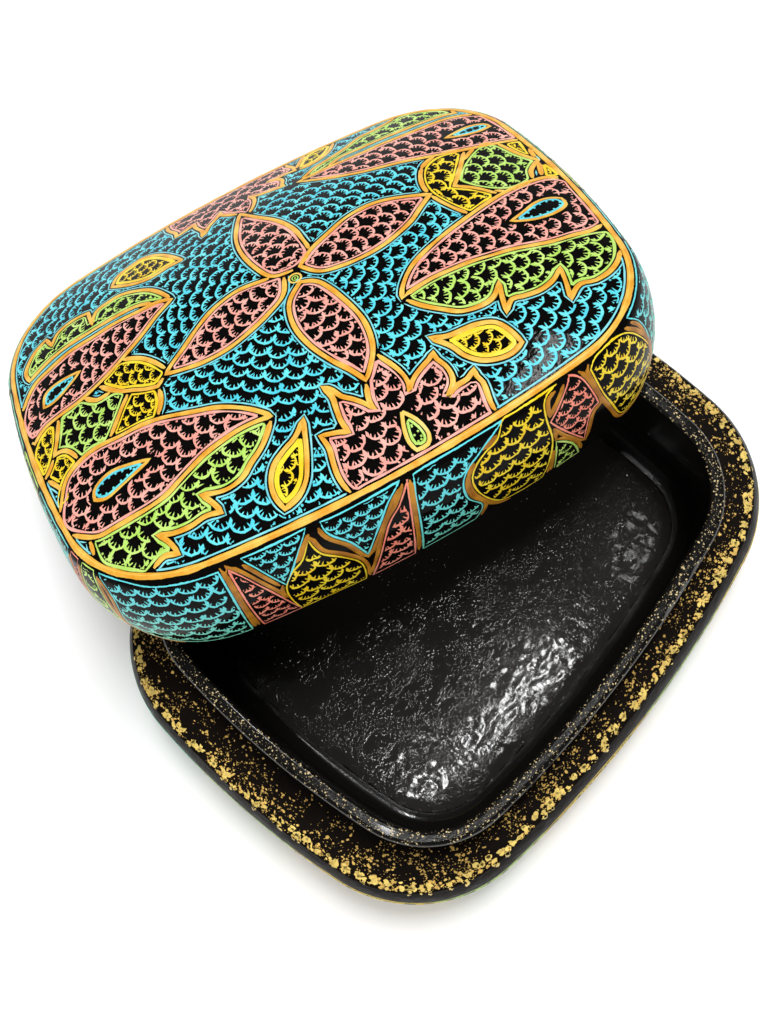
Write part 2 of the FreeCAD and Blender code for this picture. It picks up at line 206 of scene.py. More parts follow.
# Outlines of the painted panels on the lid's front wall, with their colour, in pixels of the photograph.
WALL_PANELS = {
    "corner_scales": ("teal", ((101, 568), (125, 582), (150, 587), (180, 584), (219, 572), (234, 600),
                               (250, 636), (200, 645), (160, 643), (132, 625), (115, 600))),
    "coral_wedge": ("coral", ((229, 570), (255, 582), (280, 596), (303, 613), (262, 632), (246, 600))),
    "teal_wedge": ("teal", ((240, 559), (270, 546), (304, 527), (297, 556), (286, 585), (262, 571))),
    "yellow_ogee": ("yellow", ((308, 540), (322, 553), (345, 557), (361, 564), (367, 579), (330, 600),
                               (303, 612), (287, 592), (291, 575), (303, 560))),
    "small_teal": ("teal", ((320, 522), (345, 511), (398, 478), (389, 500), (379, 528), (368, 554),
                            (350, 543), (330, 534))),
    "coral_spire": ("coral", ((406, 480), (399, 505), (388, 530), (373, 577), (416, 555), (413, 520))),
    "cyan_panel": ("teal", ((414, 474), (430, 462), (485, 425), (496, 410), (489, 440), (478, 455),
                            (467, 470), (463, 485), (468, 499), (482, 505), (475, 519), (450, 537),
                            (424, 548), (419, 510))),
    "yellow_bulb": ("yellow", ((507, 402), (554, 379), (545, 400), (546, 420), (553, 438), (551, 455),
                               (546, 480), (520, 492), (500, 500), (482, 495), (473, 482), (475, 468),
                               (486, 452), (497, 440), (503, 420))),
    "coral_ogee": ("coral", ((566, 373), (580, 378), (593, 390), (599, 402), (590, 415), (584, 438),
                             (565, 430), (550, 423), (560, 405), (565, 390))),
    "small_lime": ("lime", ((556, 442), (572, 443), (583, 453), (570, 464), (555, 472))),
    "yellow_scales": ("yellow", ((598, 350), (625, 333), (648, 343), (656, 362), (653, 380), (640, 396),
                                 (622, 412), (609, 402), (602, 388), (590, 370))),
}


def linear(red, green, blue):
    """A colour picked on a screen, 0 to 255, as the linear value that a shader takes."""
    parts = [channel / 255 for channel in (red, green, blue)]
    return [part / 12.92 if part <= 0.04045 else ((part + 0.055) / 1.055) ** 2.4 for part in parts]


# The two tones of each paint, as colours of a screen.
PAINTS = {
    "pink": ((255, 190, 176), (250, 166, 152)),
    "coral": ((255, 164, 140), (246, 136, 114)),
    "cyan": ((118, 236, 244), (84, 214, 234)),
    "teal": ((108, 228, 236), (138, 226, 180)),
    "lime": ((210, 242, 134), (182, 226, 100)),
    "yellow": ((255, 232, 62), (250, 210, 30)),
    "gold": ((255, 206, 92), (236, 162, 46)),
    # The light paint is the colour of the flower's ring and the seed drop; its strokes along the gold bands
    # are also their painted highlight.
    "light": ((255, 226, 130), (255, 206, 90)),
    "brown": ((206, 142, 44), (160, 100, 22)),
    "sky": ((150, 230, 238), (112, 206, 218)),
}


def length(name, description, default):
    """A length that a user can change."""
    return FloatProperty(name=name, description=description, default=default, min=0.0, unit="LENGTH")


def count(name, description, default):
    """A number of things that a user can change."""
    return IntProperty(name=name, description=description, default=default, min=0)


def tint(name, description, default):
    """A colour that a user can change."""
    return FloatVectorProperty(name=name, description=description, default=default, size=3,
                               subtype="COLOR", min=0.0, max=1.0)


class PaintSettings(bpy.types.PropertyGroup):
    """Sizes of the brush strokes."""

    band_width: length("Band width", "Width of the gold bands", 1.3 * MM)
    line_width: length("Line width", "Width of the thin lines", 0.6 * MM)
    comb_width: length("Scale width", "Width of one toothed scale", 4.7 * MM)
    comb_row: length("Row spacing", "Distance between rows of scales", 3.2 * MM)
    stroke_width: length("Stroke width", "Width of the fine strokes", 0.82 * MM)
    paint_rise: length("Paint thickness", "How far the paint stands proud", 0.07 * MM)
    seed: count("Seed", "Start of the hand's small irregularities", 7)


class FlakeSettings(bpy.types.PropertyGroup):
    """Gold flakes in the lacquer."""

    seat_flakes: count("Seat flakes", "Number of gold flakes tried on the seat", 12500)
    collar_flecks: count("Collar flecks", "Number of fine flecks on the collar", 2600)
    floor_specks: count("Floor specks", "Number of pale specks tried on the floor", 1600)
    flake_size: length("Flake size", "Largest radius of a flake", 0.82 * MM)
    gold: tint("Gold", "Colour of the gold flakes", linear(252, 208, 110))
    edge_gold: tint("Edge gold", "Colour of the larger flakes along the seat's edge", linear(255, 222, 120))
    fleck_gold: tint("Fleck gold", "Colour of the collar's fine flecks", linear(250, 226, 170))
    pale: tint("Pale specks", "Colour of the floor's specks", linear(236, 232, 220))


class LacquerSettings(bpy.types.PropertyGroup):
    """Black lacquer and the crinkled floor."""

    black: tint("Lacquer", "Colour of the black lacquer", linear(11, 10, 9))
    crinkle: length("Crinkle depth", "Height of the crinkles in the floor", 0.05 * MM)
    crinkle_length: length("Crinkle length", "Distance between crinkles", 3.4 * MM)


class StageSettings(bpy.types.PropertyGroup):
    """Floor and light."""

    floor_size: length("Floor size", "Side of the white floor", 4.0)
    white: tint("Floor colour", "Colour of the floor", (0.9, 0.9, 0.9))
    key_strength: FloatProperty(name="Key light", description="Strength of the broad main light",
                                default=2.65, min=0.0)
    box_power: FloatProperty(name="Soft boxes", description="Power that every soft box takes its share of",
                             default=1.6, min=0.0, unit="POWER")


def new_group(name, outputs, inputs):
    """An empty shader group whose sockets are numbers; returns it with its input and output nodes."""
    group = bpy.data.node_groups.new(name, "ShaderNodeTree")
    for label, value in inputs.items():
        socket = group.interface.new_socket(name=label, in_out="INPUT", socket_type="NodeSocketFloat")
        socket.default_value = value
    for label in outputs:
        group.interface.new_socket(name=label, in_out="OUTPUT", socket_type="NodeSocketFloat")
    return group, group.nodes.new("NodeGroupInput"), group.nodes.new("NodeGroupOutput")


def set_inputs(node, values):
    """Give a node's inputs their values."""
    for label, value in values.items():
        node.inputs[label].default_value = value


def add_node(tree, kind, values=None, **settings):
    """A new shader node with its settings and the values of its inputs."""
    node = tree.nodes.new(f"ShaderNode{kind}")
    for name, setting in settings.items():
        setattr(node, name, setting)
    set_inputs(node, values or {})
    return node


def join(tree, *wires):
    """Link outputs to inputs: each wire is a node, its output, another node and that one's input."""
    for source, output, target, entry in wires:
        tree.links.new(source.outputs[output], target.inputs[entry])


def brush_tone_group():
    """Uneven brushed paint: a tone that wanders between thin and thick paint."""
    group, start, end = new_group("brush_tone", ("Tone", "Height"), {"Scale": 300.0})
    place = add_node(group, "TexCoord")
    wash = add_node(group, "TexNoise", {"Detail": 3.0})
    grain = add_node(group, "TexNoise", {"Scale": 2600.0, "Detail": 2.0})
    spread = add_node(group, "MapRange", {"From Min": 0.35, "From Max": 0.65})
    join(group,
         (place, "Object", wash, "Vector"), (place, "Object", grain, "Vector"),
         (start, "Scale", wash, "Scale"), (wash, "Fac", spread, "Value"),
         (spread, "Result", end, "Tone"), (grain, "Fac", end, "Height"))
    return group


def lacquer_group():
    """Hand-laid lacquer: soft waves, patches of fine creases and a wandering gloss."""
    group, start, end = new_group(
        "lacquer_flow", ("Height", "Roughness", "Tone"),
        {"Wave Scale": 120.0, "Fine Scale": 900.0, "Crease Scale": 850.0, "Crease": 0.0,
         "Low Gloss": 0.22, "High Gloss": 0.1})
    place = add_node(group, "TexCoord")
    wave = add_node(group, "TexNoise", {"Detail": 2.0})
    fine = add_node(group, "TexNoise", {"Detail": 3.0})
    flow = add_node(group, "Math", {1: 0.25}, operation="MULTIPLY_ADD")
    crease = add_node(group, "TexNoise", {"Detail": 1.0})
    middle = add_node(group, "Math", {1: 0.5}, operation="SUBTRACT")
    fold = add_node(group, "Math", operation="ABSOLUTE")
    patch = add_node(group, "MapRange", {"From Min": 0.38, "From Max": 0.62, "To Min": 0.15, "To Max": 1.7})
    amount = add_node(group, "Math", operation="MULTIPLY")
    depth = add_node(group, "Math", operation="MULTIPLY")
    total = add_node(group, "Math", operation="SUBTRACT")
    gloss = add_node(group, "MapRange", {"From Min": 0.3, "From Max": 0.7})
    join(group,
         (place, "Object", wave, "Vector"), (start, "Wave Scale", wave, "Scale"),
         (place, "Object", fine, "Vector"), (start, "Fine Scale", fine, "Scale"),
         (place, "Object", crease, "Vector"), (start, "Crease Scale", crease, "Scale"),
         (fine, "Fac", flow, 0), (wave, "Fac", flow, 2),
         (crease, "Fac", middle, 0), (middle, "Value", fold, 0),
         (wave, "Fac", patch, "Value"), (patch, "Result", amount, 0), (start, "Crease", amount, 1),
         (fold, "Value", depth, 0), (amount, "Value", depth, 1),
         (flow, "Value", total, 0), (depth, "Value", total, 1), (total, "Value", end, "Height"),
         (wave, "Fac", gloss, "Value"), (start, "High Gloss", gloss, "To Min"),
         (start, "Low Gloss", gloss, "To Max"), (gloss, "Result", end, "Roughness"),
         (fine, "Fac", end, "Tone"))
    return group


def place_group(tree, name, build, values):
    """A shader group, built once and then reused, placed in a material with its own values."""
    group = add_node(tree, "Group", node_tree=bpy.data.node_groups.get(name) or build())
    set_inputs(group, values)
    return group


def new_material(name):
    """A material, its nodes and its Principled BSDF."""
    material = bpy.data.materials.new(name)
    material.use_nodes = True
    return material, material.node_tree, material.node_tree.nodes["Principled BSDF"]


def bump_from(tree, shader, group, strength, distance):
    """Let a group's height drive the shader's normal."""
    bump = add_node(tree, "Bump", {"Strength": strength, "Distance": distance})
    join(tree, (group, "Height", bump, "Height"), (bump, "Normal", shader, "Normal"))


def tone_mix(tree, shader, source, output, first, second):
    """Blend two colours by a tone into the base colour."""
    mix = add_node(tree, "Mix", data_type="RGBA")
    set_inputs(mix, {"A": (*first, 1.0), "B": (*second, 1.0)})
    join(tree, (source, output, mix, "Factor"), (mix, "Result", shader, "Base Color"))


# Heights in metres between which the teal of the lid's wall turns from blue to green.
TEAL_BLUE = 0.062
TEAL_GREEN = 0.040


def paint_material(name):
    """Glossy brushed paint in one of the box's colours."""
    material, tree, shader = new_material(f"paint_{name}")
    first, second = (linear(*colour) for colour in PAINTS[name])
    brushed = place_group(tree, "brush_tone", brush_tone_group, {"Scale": 260.0})
    if name == "teal":
        place = add_node(tree, "TexCoord")
        split = add_node(tree, "SeparateXYZ")
        fade = add_node(tree, "MapRange", {"From Min": TEAL_BLUE, "From Max": TEAL_GREEN})
        join(tree, (place, "Object", split, "Vector"), (split, "Z", fade, "Value"))
        tone_mix(tree, shader, fade, "Result", first, second)
    else:
        tone_mix(tree, shader, brushed, "Tone", first, second)
    set_inputs(shader, {"Roughness": 0.32, "Specular IOR Level": 0.25, "Coat Weight": 0.06,
                        "Coat Roughness": 0.08})
    bump_from(tree, shader, brushed, 0.15, 0.00005)
    return material


# The lacquer of each part: scales of its waves and grain, strength of its bumps, low and high gloss,
# specular level and coat, what is added to its colour (a painted sheen that stands in for reflected room
# light, strongest on the floor), amount of fine creases, and tint.
LACQUERS = {
    "lacquer_base": (300.0, 1400.0, 0.6, 0.4, 0.25, 0.02, 0.0, 0.8, 0.0, (1.25, 1.02, 0.9)),
    "lacquer_collar": (140.0, 1300.0, 0.3, 0.26, 0.12, 0.3, 0.25, 0.5, 0.0, (1.0, 1.0, 1.0)),
    "lacquer_lid": (70.0, 1100.0, 0.4, 0.07, 0.03, 0.06, 0.0, 0.0, 0.0, (1.0, 1.0, 1.0)),
    "lacquer_floor": (200.0, 700.0, 0.36, 0.09, 0.05, 0.22, 0.3, 3.7, 1.0, (1.0, 1.0, 1.0)),
}


def lacquer_material(name):
    """Black lacquer over moulded paper."""
    wave, fine, strength, low_gloss, high_gloss, specular, coat, painted_sheen, crease, tints = LACQUERS[name]
    black = bpy.context.scene.box_lacquer.black
    # Both tones are lifted above the black by the added amount, a painted sheen that stands in for reflected
    # room light.
    dark, light = ([part * (level + painted_sheen) * share for part, share in zip(black, tints)]
                   for level in (0.7, 1.4))
    material, tree, shader = new_material(name)
    flow = place_group(tree, "lacquer_flow", lacquer_group,
                       {"Wave Scale": wave, "Fine Scale": fine, "Crease": crease,
                        "Low Gloss": low_gloss, "High Gloss": high_gloss})
    tone_mix(tree, shader, flow, "Tone", dark, light)
    join(tree, (flow, "Roughness", shader, "Roughness"))
    set_inputs(shader, {"Specular IOR Level": specular, "Coat Weight": coat, "Coat Roughness": 0.05})
    bump_from(tree, shader, flow, strength, 0.0004)
    return material


def gold_material(name, colour, metallic, roughness):
    """Gold leaf flakes caught in the lacquer, or pale specks."""
    material, tree, shader = new_material(name)
    leaf = place_group(tree, "brush_tone", brush_tone_group, {"Scale": 420.0})
    tone_mix(tree, shader, leaf, "Tone", colour, [part * 0.72 for part in colour])
    set_inputs(shader, {"Metallic": metallic, "Roughness": roughness})
    bump_from(tree, shader, leaf, 0.4, 0.0001)
    return material


def corners_of(node):
    """A CAD node's lowest and highest corners at rest, in millimetres."""
    return [Vector(corner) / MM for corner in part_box(node)]


def node_tree_of(node, place):
    """A CAD node's mesh as a search tree, in millimetres in its own upright frame."""
    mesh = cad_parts[node].data
    inward = place.inverted()
    spots = [inward @ (vertex.co / MM) for vertex in mesh.vertices]
    return BVHTree.FromPolygons(spots, [tuple(polygon.vertices) for polygon in mesh.polygons])


# Small side steps for a ray that may slip between two facets, in millimetres.
NUDGES = (0.0, 0.011)
WALL_NUDGES = NUDGES + (-0.017, 0.029)


class PlanSurface:
    """The upper side of a node, on which a flat pattern is laid from above."""

    # In millimetres: where a ray starts, and how much higher than the first a later hit must be to count.
    START = 150.0
    HIGHER = 1.0

    def __init__(self, tree, place):
        self.tree = tree
        self.place = place

    def wrap(self, along, across, rise):
        """The place of a point of the flat pattern, lifted off the surface by a rise."""
        best = None
        for nudge in NUDGES:
            start = Vector((along + nudge, across + nudge, self.START))
            hit, normal, _, _ = self.tree.ray_cast(start, Vector((0, 0, -1)))
            if hit is not None and (best is None or hit.z > best.z + self.HIGHER):
                best = hit
                lifted = Vector((along, across, hit.z)) + normal * rise
        if best is None:
            return None
        return self.place @ lifted * MM


class WallSurface:
    """The wall of a shell, unrolled: along its outline from the middle of the front, and up its height.

    Above the bend the pattern goes on over the rounded shoulder. All sizes are in millimetres.
    """

    # How far out a ray starts, the steps round the outline and how many of them are searched to each side,
    # how near above the surface a ray starts, and the lowest height that is painted.
    REACH = 200.0
    STEPS = 720
    SEARCH = 30
    SKIN = 5.0
    LOWEST = 0.12

    def __init__(self, tree, place, height, bend, shoulder):
        self.tree = tree
        self.place = place
        self.bend = bend
        self.shoulder = shoulder
        self.spots = [self.outer_spot(height, -math.pi / 2 + math.tau * step / self.STEPS)
                      for step in range(self.STEPS)]
        self.marks = [0.0]
        for step in range(self.STEPS):
            side = (self.spots[(step + 1) % self.STEPS] - self.spots[step]).length
            self.marks.append(self.marks[-1] + side)
        self.length = self.marks[-1]

    def outer_spot(self, height, angle):
        """Where the wall's outer face lies in one direction from the middle."""
        outward = Vector((math.cos(angle), math.sin(angle), 0))
        hits = [self.tree.ray_cast(outward * self.REACH + Vector((nudge, nudge, height + nudge)), -outward)[0]
                for nudge in WALL_NUDGES]
        return max((hit.xy for hit in hits if hit is not None), key=lambda hit: hit.dot(outward.xy))

    def at(self, along):
        """The outline's point and outward direction at a distance along it."""
        along %= self.length
        low, high = 0, self.STEPS
        while high - low > 1:
            middle = (low + high) // 2
            if self.marks[middle] <= along:
                low = middle
            else:
                high = middle
        share = (along - self.marks[low]) / (self.marks[low + 1] - self.marks[low])
        spot = self.spots[low].lerp(self.spots[(low + 1) % self.STEPS], share)
        side = self.spots[(low + 2) % self.STEPS] - self.spots[low - 1]
        return spot, Vector((side.y, -side.x)).normalized()

    def locate(self, spot):
        """The distance along the outline that lies nearest a point."""
        guess = round((math.atan2(spot.y, spot.x) + math.pi / 2) / math.tau * self.STEPS)
        around = (step % self.STEPS for step in range(guess - self.SEARCH, guess + self.SEARCH + 1))
        nearest = min(around, key=lambda step: (self.spots[step] - spot).length_squared)
        along = self.marks[nearest]
        return along - self.length if along > self.length / 2 else along

    def depth(self, spot):
        """How far a point lies inside the outline."""
        edge, outward = self.at(self.locate(spot))
        return (edge - spot).dot(outward)

    def unroll(self, spot):
        """The place in the unrolled pattern of a point of the surface."""
        height = spot.z
        if height > self.bend:
            turn = math.atan2(height - self.bend, self.shoulder - self.depth(spot.xy))
            height = self.bend + turn * self.shoulder
        return Vector((self.locate(spot.xy), height))

    def wrap(self, along, height, rise):
        """The place of a point of the unrolled pattern, lifted off the surface by a rise."""
        height = max(height, self.LOWEST)
        spot, outward = self.at(along)
        outward = outward.to_3d()
        if height <= self.bend:
            pivot = spot.to_3d() + Vector((0, 0, height)) - outward * self.shoulder
            ray = outward
        else:
            turn = (height - self.bend) / self.shoulder
            pivot = spot.to_3d() + Vector((0, 0, self.bend)) - outward * self.shoulder
            ray = outward * math.cos(turn) + Vector((0, 0, math.sin(turn)))
        for nudge in WALL_NUDGES:
            start = pivot + ray * (self.shoulder + self.SKIN) + Vector((nudge, -nudge, nudge))
            hit, normal, _, far = self.tree.ray_cast(start, -ray)
            if hit is not None and far < self.SKIN * 2:
                return self.place @ (hit + normal * rise) * MM
        return None


def floor_outline(tree, node):
    """The outline of a flat node, as the wall of half its height."""
    low, high = corners_of(node)
    return WallSurface(tree, BASE_FRAME, (low.z + high.z) / 2, high.z, 1.0)


def pixel_ray(pixel):
    """The direction of the photograph's ray through a pixel."""
    right = (pixel[0] - PHOTO_WIDTH / 2) / PHOTO_FOCAL
    down = (pixel[1] - PHOTO_HEIGHT / 2) / PHOTO_FOCAL
    return (PICTURE_DEPTH + PICTURE_RIGHT * right + PICTURE_DOWN * down).normalized()


# So many pixels may a pixel just off the lid slide towards its middle.
SLIDE_LIMIT = 80


def lid_spot(tree, pixel):
    """The point of the lid, in its own frame, that the photograph shows at a pixel.

    A pixel just off the lid slides towards its middle until it meets it.
    """
    inward = LID_FRAME.inverted()
    origin = inward @ CAMERA_PLACE
    spot = Vector(pixel)
    middle = Vector(LID_MIDDLE_PIXEL)
    for _ in range(SLIDE_LIMIT):
        hit = tree.ray_cast(origin, inward.to_3x3() @ pixel_ray(spot))[0]
        if hit is not None:
            return hit
        spot += (middle - spot).normalized()
    raise RuntimeError(f"pixel {tuple(pixel)} doesn't meet the lid")


# A path turns sharply where its corner is harder than this, and has a point every so many millimetres.
CORNER_TURN = math.radians(62)
PATH_STEP = 1.1


def smooth_path(corners, closed=True):
    """A soft line through points, sharp where it turns hard, as evenly spaced points."""
    count = len(corners)
    points = [Vector(corner) for corner in corners]

    def tangent(index):
        if not closed and index in (0, count - 1):
            return None
        before = points[index] - points[index - 1]
        after = points[(index + 1) % count] - points[index]
        if before.length * after.length == 0 or before.angle(after) > CORNER_TURN:
            return None
        return (before + after) / 2

    path = []
    for index in range(count if closed else count - 1):
        start, end = points[index], points[(index + 1) % count]
        leave, arrive = tangent(index), tangent((index + 1) % count)
        side = end - start
        if leave is None:
            leave = side if arrive is None else side * 1.5 - arrive * 0.5
        if arrive is None:
            arrive = side * 1.5 - leave * 0.5
        steps = max(1, round((end - start).length / PATH_STEP))
        for step in range(steps):
            share = step / steps
            square, cube = share * share, share * share * share
            path.append(start * (2 * cube - 3 * square + 1) + leave * (cube - 2 * square + share)
                        + end * (3 * square - 2 * cube) + arrive * (cube - square))
    if not closed:
        path.append(points[-1])
    return path


def area_of(path):
    """The signed area inside a closed path."""
    return sum(a.x * b.y - a.y * b.x for a, b in zip(path, path[1:] + path[:1])) / 2


def nearest_on(path, spot):
    """The point of a closed path that lies nearest a point."""
    best, place = math.inf, None
    for start, end in zip(path, path[1:] + path[:1]):
        side = end - start
        size = side.length_squared
        share = 0 if size == 0 else min(1, max(0, (spot - start).dot(side) / size))
        there = start + side * share
        far = (spot - there).length_squared
        if far < best:
            best, place = far, there
    return place


def edge_distance(path, spot):
    """The distance from a point to a closed path."""
    return (nearest_on(path, spot) - spot).length


def holds(path, spot):
    """Whether a closed path goes round a point."""
    inside = False
    for a, b in zip(path, path[1:] + path[:1]):
        if (a.y > spot.y) != (b.y > spot.y):
            if spot.x < (b.x - a.x) * (spot.y - a.y) / (b.y - a.y) + a.x:
                inside = not inside
    return inside


# A line beside an outline keeps this share of its distance, or it is left out there.
KEPT_APART_SHARE = 0.93
# A field smaller than this, in square millimetres, gets smaller scales.
SMALL_FIELD = 150.0
SMALL_SCALE = 0.74


class Region:
    """One painted field: its outline and its colour."""

    def __init__(self, path, colour):
        self.path = path if area_of(path) > 0 else path[::-1]
        self.colour = colour
        self.low = Vector((min(p.x for p in path), min(p.y for p in path)))
        self.high = Vector((max(p.x for p in path), max(p.y for p in path)))
        self.middle = (self.low + self.high) / 2

    def near(self, spot, margin):
        """Whether a point lies within a margin of the region's box."""
        return (self.low.x - margin < spot.x < self.high.x + margin
                and self.low.y - margin < spot.y < self.high.y + margin)

    def depth(self, spot, margin=3.2):
        """How far inside the outline a point lies; outside, it is negative."""
        if not self.near(spot, margin):
            return -margin
        far = edge_distance(self.path, spot)
        return far if holds(self.path, spot) else -far

    def beside(self, distance):
        """The outline moved outwards by a distance, without the points that come too near it again."""
        line = []
        count = len(self.path)
        for index, spot in enumerate(self.path):
            side = self.path[(index + 1) % count] - self.path[index - 1]
            if side.length == 0:
                continue
            moved = spot + Vector((side.y, -side.x)).normalized() * distance
            if edge_distance(self.path, moved) > abs(distance) * KEPT_APART_SHARE:
                line.append(moved)
        return line

    def comb_scale(self):
        """The size of the scales that fill it, less in a small field."""
        return SMALL_SCALE if abs(area_of(self.path)) < SMALL_FIELD else 1.0


def mesh_of(shape, name):
    """A finished shape as mesh data."""
    mesh = bpy.data.meshes.new(name)
    shape.to_mesh(mesh)
    shape.free()
    return mesh


class Brush:
    """Paint of one colour, laid as a flat pattern before it's wrapped onto its surface."""

    # Sections of a stroke: places across it, as shares of its half width, and how high each is.
    THIN = ((-1.0, -0.35), (0.0, 1.0), (1.0, -0.35))
    BROAD = ((-1.0, -0.35), (-0.62, 0.9), (0.62, 0.9), (1.0, -0.35))

    def __init__(self, rise):
        self.mesh = bmesh.new()
        self.rise = rise
        self.cut = []

    def ribbon(self, path, widths, profile=THIN, rise=None):
        """A stroke along a path, with a width at each point and a low rounded section."""
        steps = len(path) - 1
        if steps < 1:
            return
        rise = self.rise if rise is None else rise
        columns = len(profile) - 1
        made = bmesh.ops.create_grid(self.mesh, x_segments=steps, y_segments=columns, size=0.5)["verts"]
        for vertex in made:
            step = round((vertex.co.x + 0.5) * steps)
            share, height = profile[round((vertex.co.y + 0.5) * columns)]
            before, after = path[max(0, step - 1)], path[min(steps, step + 1)]
            along = after - before
            if along.length == 0:
                along = Vector((1, 0))
            across = Vector((-along.y, along.x)).normalized()
            spot = path[step] + across * widths[step] / 2 * share
            vertex.co = (spot.x, spot.y, height * rise)

    def dot(self, spot, radius):
        """A drop of paint."""
        place = Matrix.Translation((spot.x, spot.y, self.rise * 0.2))
        bmesh.ops.create_cone(self.mesh, cap_ends=True, segments=6, radius1=radius,
                              radius2=radius * 0.55, depth=self.rise * 1.3, matrix=place)

    def stamp(self, template, spot, angle, size, keep=None):
        """A copy of a ready stroke, turned, sized and put in its place, and cut where it isn't kept."""
        first = len(self.mesh.verts)
        self.mesh.from_mesh(template)
        self.mesh.verts.ensure_lookup_table()
        place = (Matrix.Translation((spot.x, spot.y, 0)) @ Matrix.Rotation(angle, 4, "Z")
                 @ Matrix.Diagonal((size, size, 1, 1)))
        for vertex in self.mesh.verts[first:]:
            vertex.co = place @ vertex.co
            if keep is not None and not keep(vertex.co.xy):
                self.cut.append(vertex)

    def finish(self, name, surface, material, body, slot):
        """Wrap the paint onto its surface as a piece that rides on a body."""
        bmesh.ops.delete(self.mesh, geom=self.cut, context="VERTS")
        loose = [vertex for vertex in self.mesh.verts if not vertex.link_faces]
        bmesh.ops.delete(self.mesh, geom=loose, context="VERTS")
        lost = []
        for vertex in self.mesh.verts:
            spot = surface.wrap(*vertex.co)
            if spot is None:
                lost.append(vertex)
            else:
                vertex.co = [min(max(part, low), high) for part, low, high in zip(spot, *CAD_BOX)]
        bmesh.ops.delete(self.mesh, geom=lost, context="VERTS")
        bmesh.ops.recalc_face_normals(self.mesh, faces=self.mesh.faces)
        return piece_from(self.mesh, name, material, body)


def piece_from(shape, name, material, body):
    """A finished shape as a piece that rides on a body."""
    if not shape.faces:
        raise RuntimeError(f"{name} has no faces")
    mesh = mesh_of(shape, name)
    mesh.materials.append(material)
    mesh.shade_smooth()
    piece = bpy.data.objects.new(name, mesh)
    bpy.context.scene.collection.objects.link(piece)
    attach(piece, body)
    return piece


# One toothed scale: how far it sags, as a share of its half width; how uneven its arc is, how far its horns
# lean and rise and how long its teeth are, in millimetres; and its widths, as shares of the stroke.
COMB_TEMPLATES = 8
COMB_STEPS = 10
SAG_SHARES = (0.58, 0.95)
ARC_WOBBLE = 0.16
ARC_WIDTH_SHARES = (0.72, 1.22)
ARC_END_SHARE = 1.35
HORN_LEAN = 0.25
HORN_RISE = (0.45, 0.9)
HORN_WIDTH_SHARE = 0.4
TOOTH_COUNTS = (4, 5, 5, 6)
TOOTH_LENGTH = (0.5, 1.1)
TOOTH_WIDTH_SHARES = (0.68, 0.52, 0.14)


def comb_templates(rng, settings):
    """Toothed scales: a lumpy U-shaped stroke with a horn at each end and short pointed teeth."""
    radius = settings.comb_width / MM / 2
    stroke = settings.stroke_width / MM
    templates = []
    for number in range(COMB_TEMPLATES):
        brush = Brush(settings.paint_rise / MM)
        sag = radius * rng.uniform(*SAG_SHARES)

        def on_arc(share):
            angle = math.pi * (1 + share)
            return Vector((math.cos(angle) * radius, math.sin(angle) * sag + sag * 0.5))

        arc = [on_arc(step / COMB_STEPS) + Vector((0, rng.uniform(-ARC_WOBBLE, ARC_WOBBLE)))
               for step in range(COMB_STEPS + 1)]
        horns = [arc[end] + Vector((rng.uniform(-HORN_LEAN, HORN_LEAN), rng.uniform(*HORN_RISE)))
                 for end in (0, -1)]
        widths = [stroke * rng.uniform(*ARC_WIDTH_SHARES) for _ in arc]
        widths[0] = widths[-1] = stroke * ARC_END_SHARE
        tip_width = stroke * HORN_WIDTH_SHARE
        brush.ribbon([horns[0]] + arc + [horns[1]], [tip_width] + widths + [tip_width])
        teeth = rng.choice(TOOTH_COUNTS)
        for tooth in range(teeth):
            root = on_arc((tooth + 0.7 + rng.uniform(-0.15, 0.15)) / (teeth + 0.4))
            lean = Vector((rng.uniform(-0.3, 0.3) - root.x / radius * 0.9, 1.0)).normalized()
            tip = root + lean * (stroke * 0.5 + rng.uniform(*TOOTH_LENGTH))
            brush.ribbon([root, root.lerp(tip, 0.6), tip], [stroke * share for share in TOOTH_WIDTH_SHARES])
        templates.append(mesh_of(brush.mesh, f"comb_{number}"))
    return templates


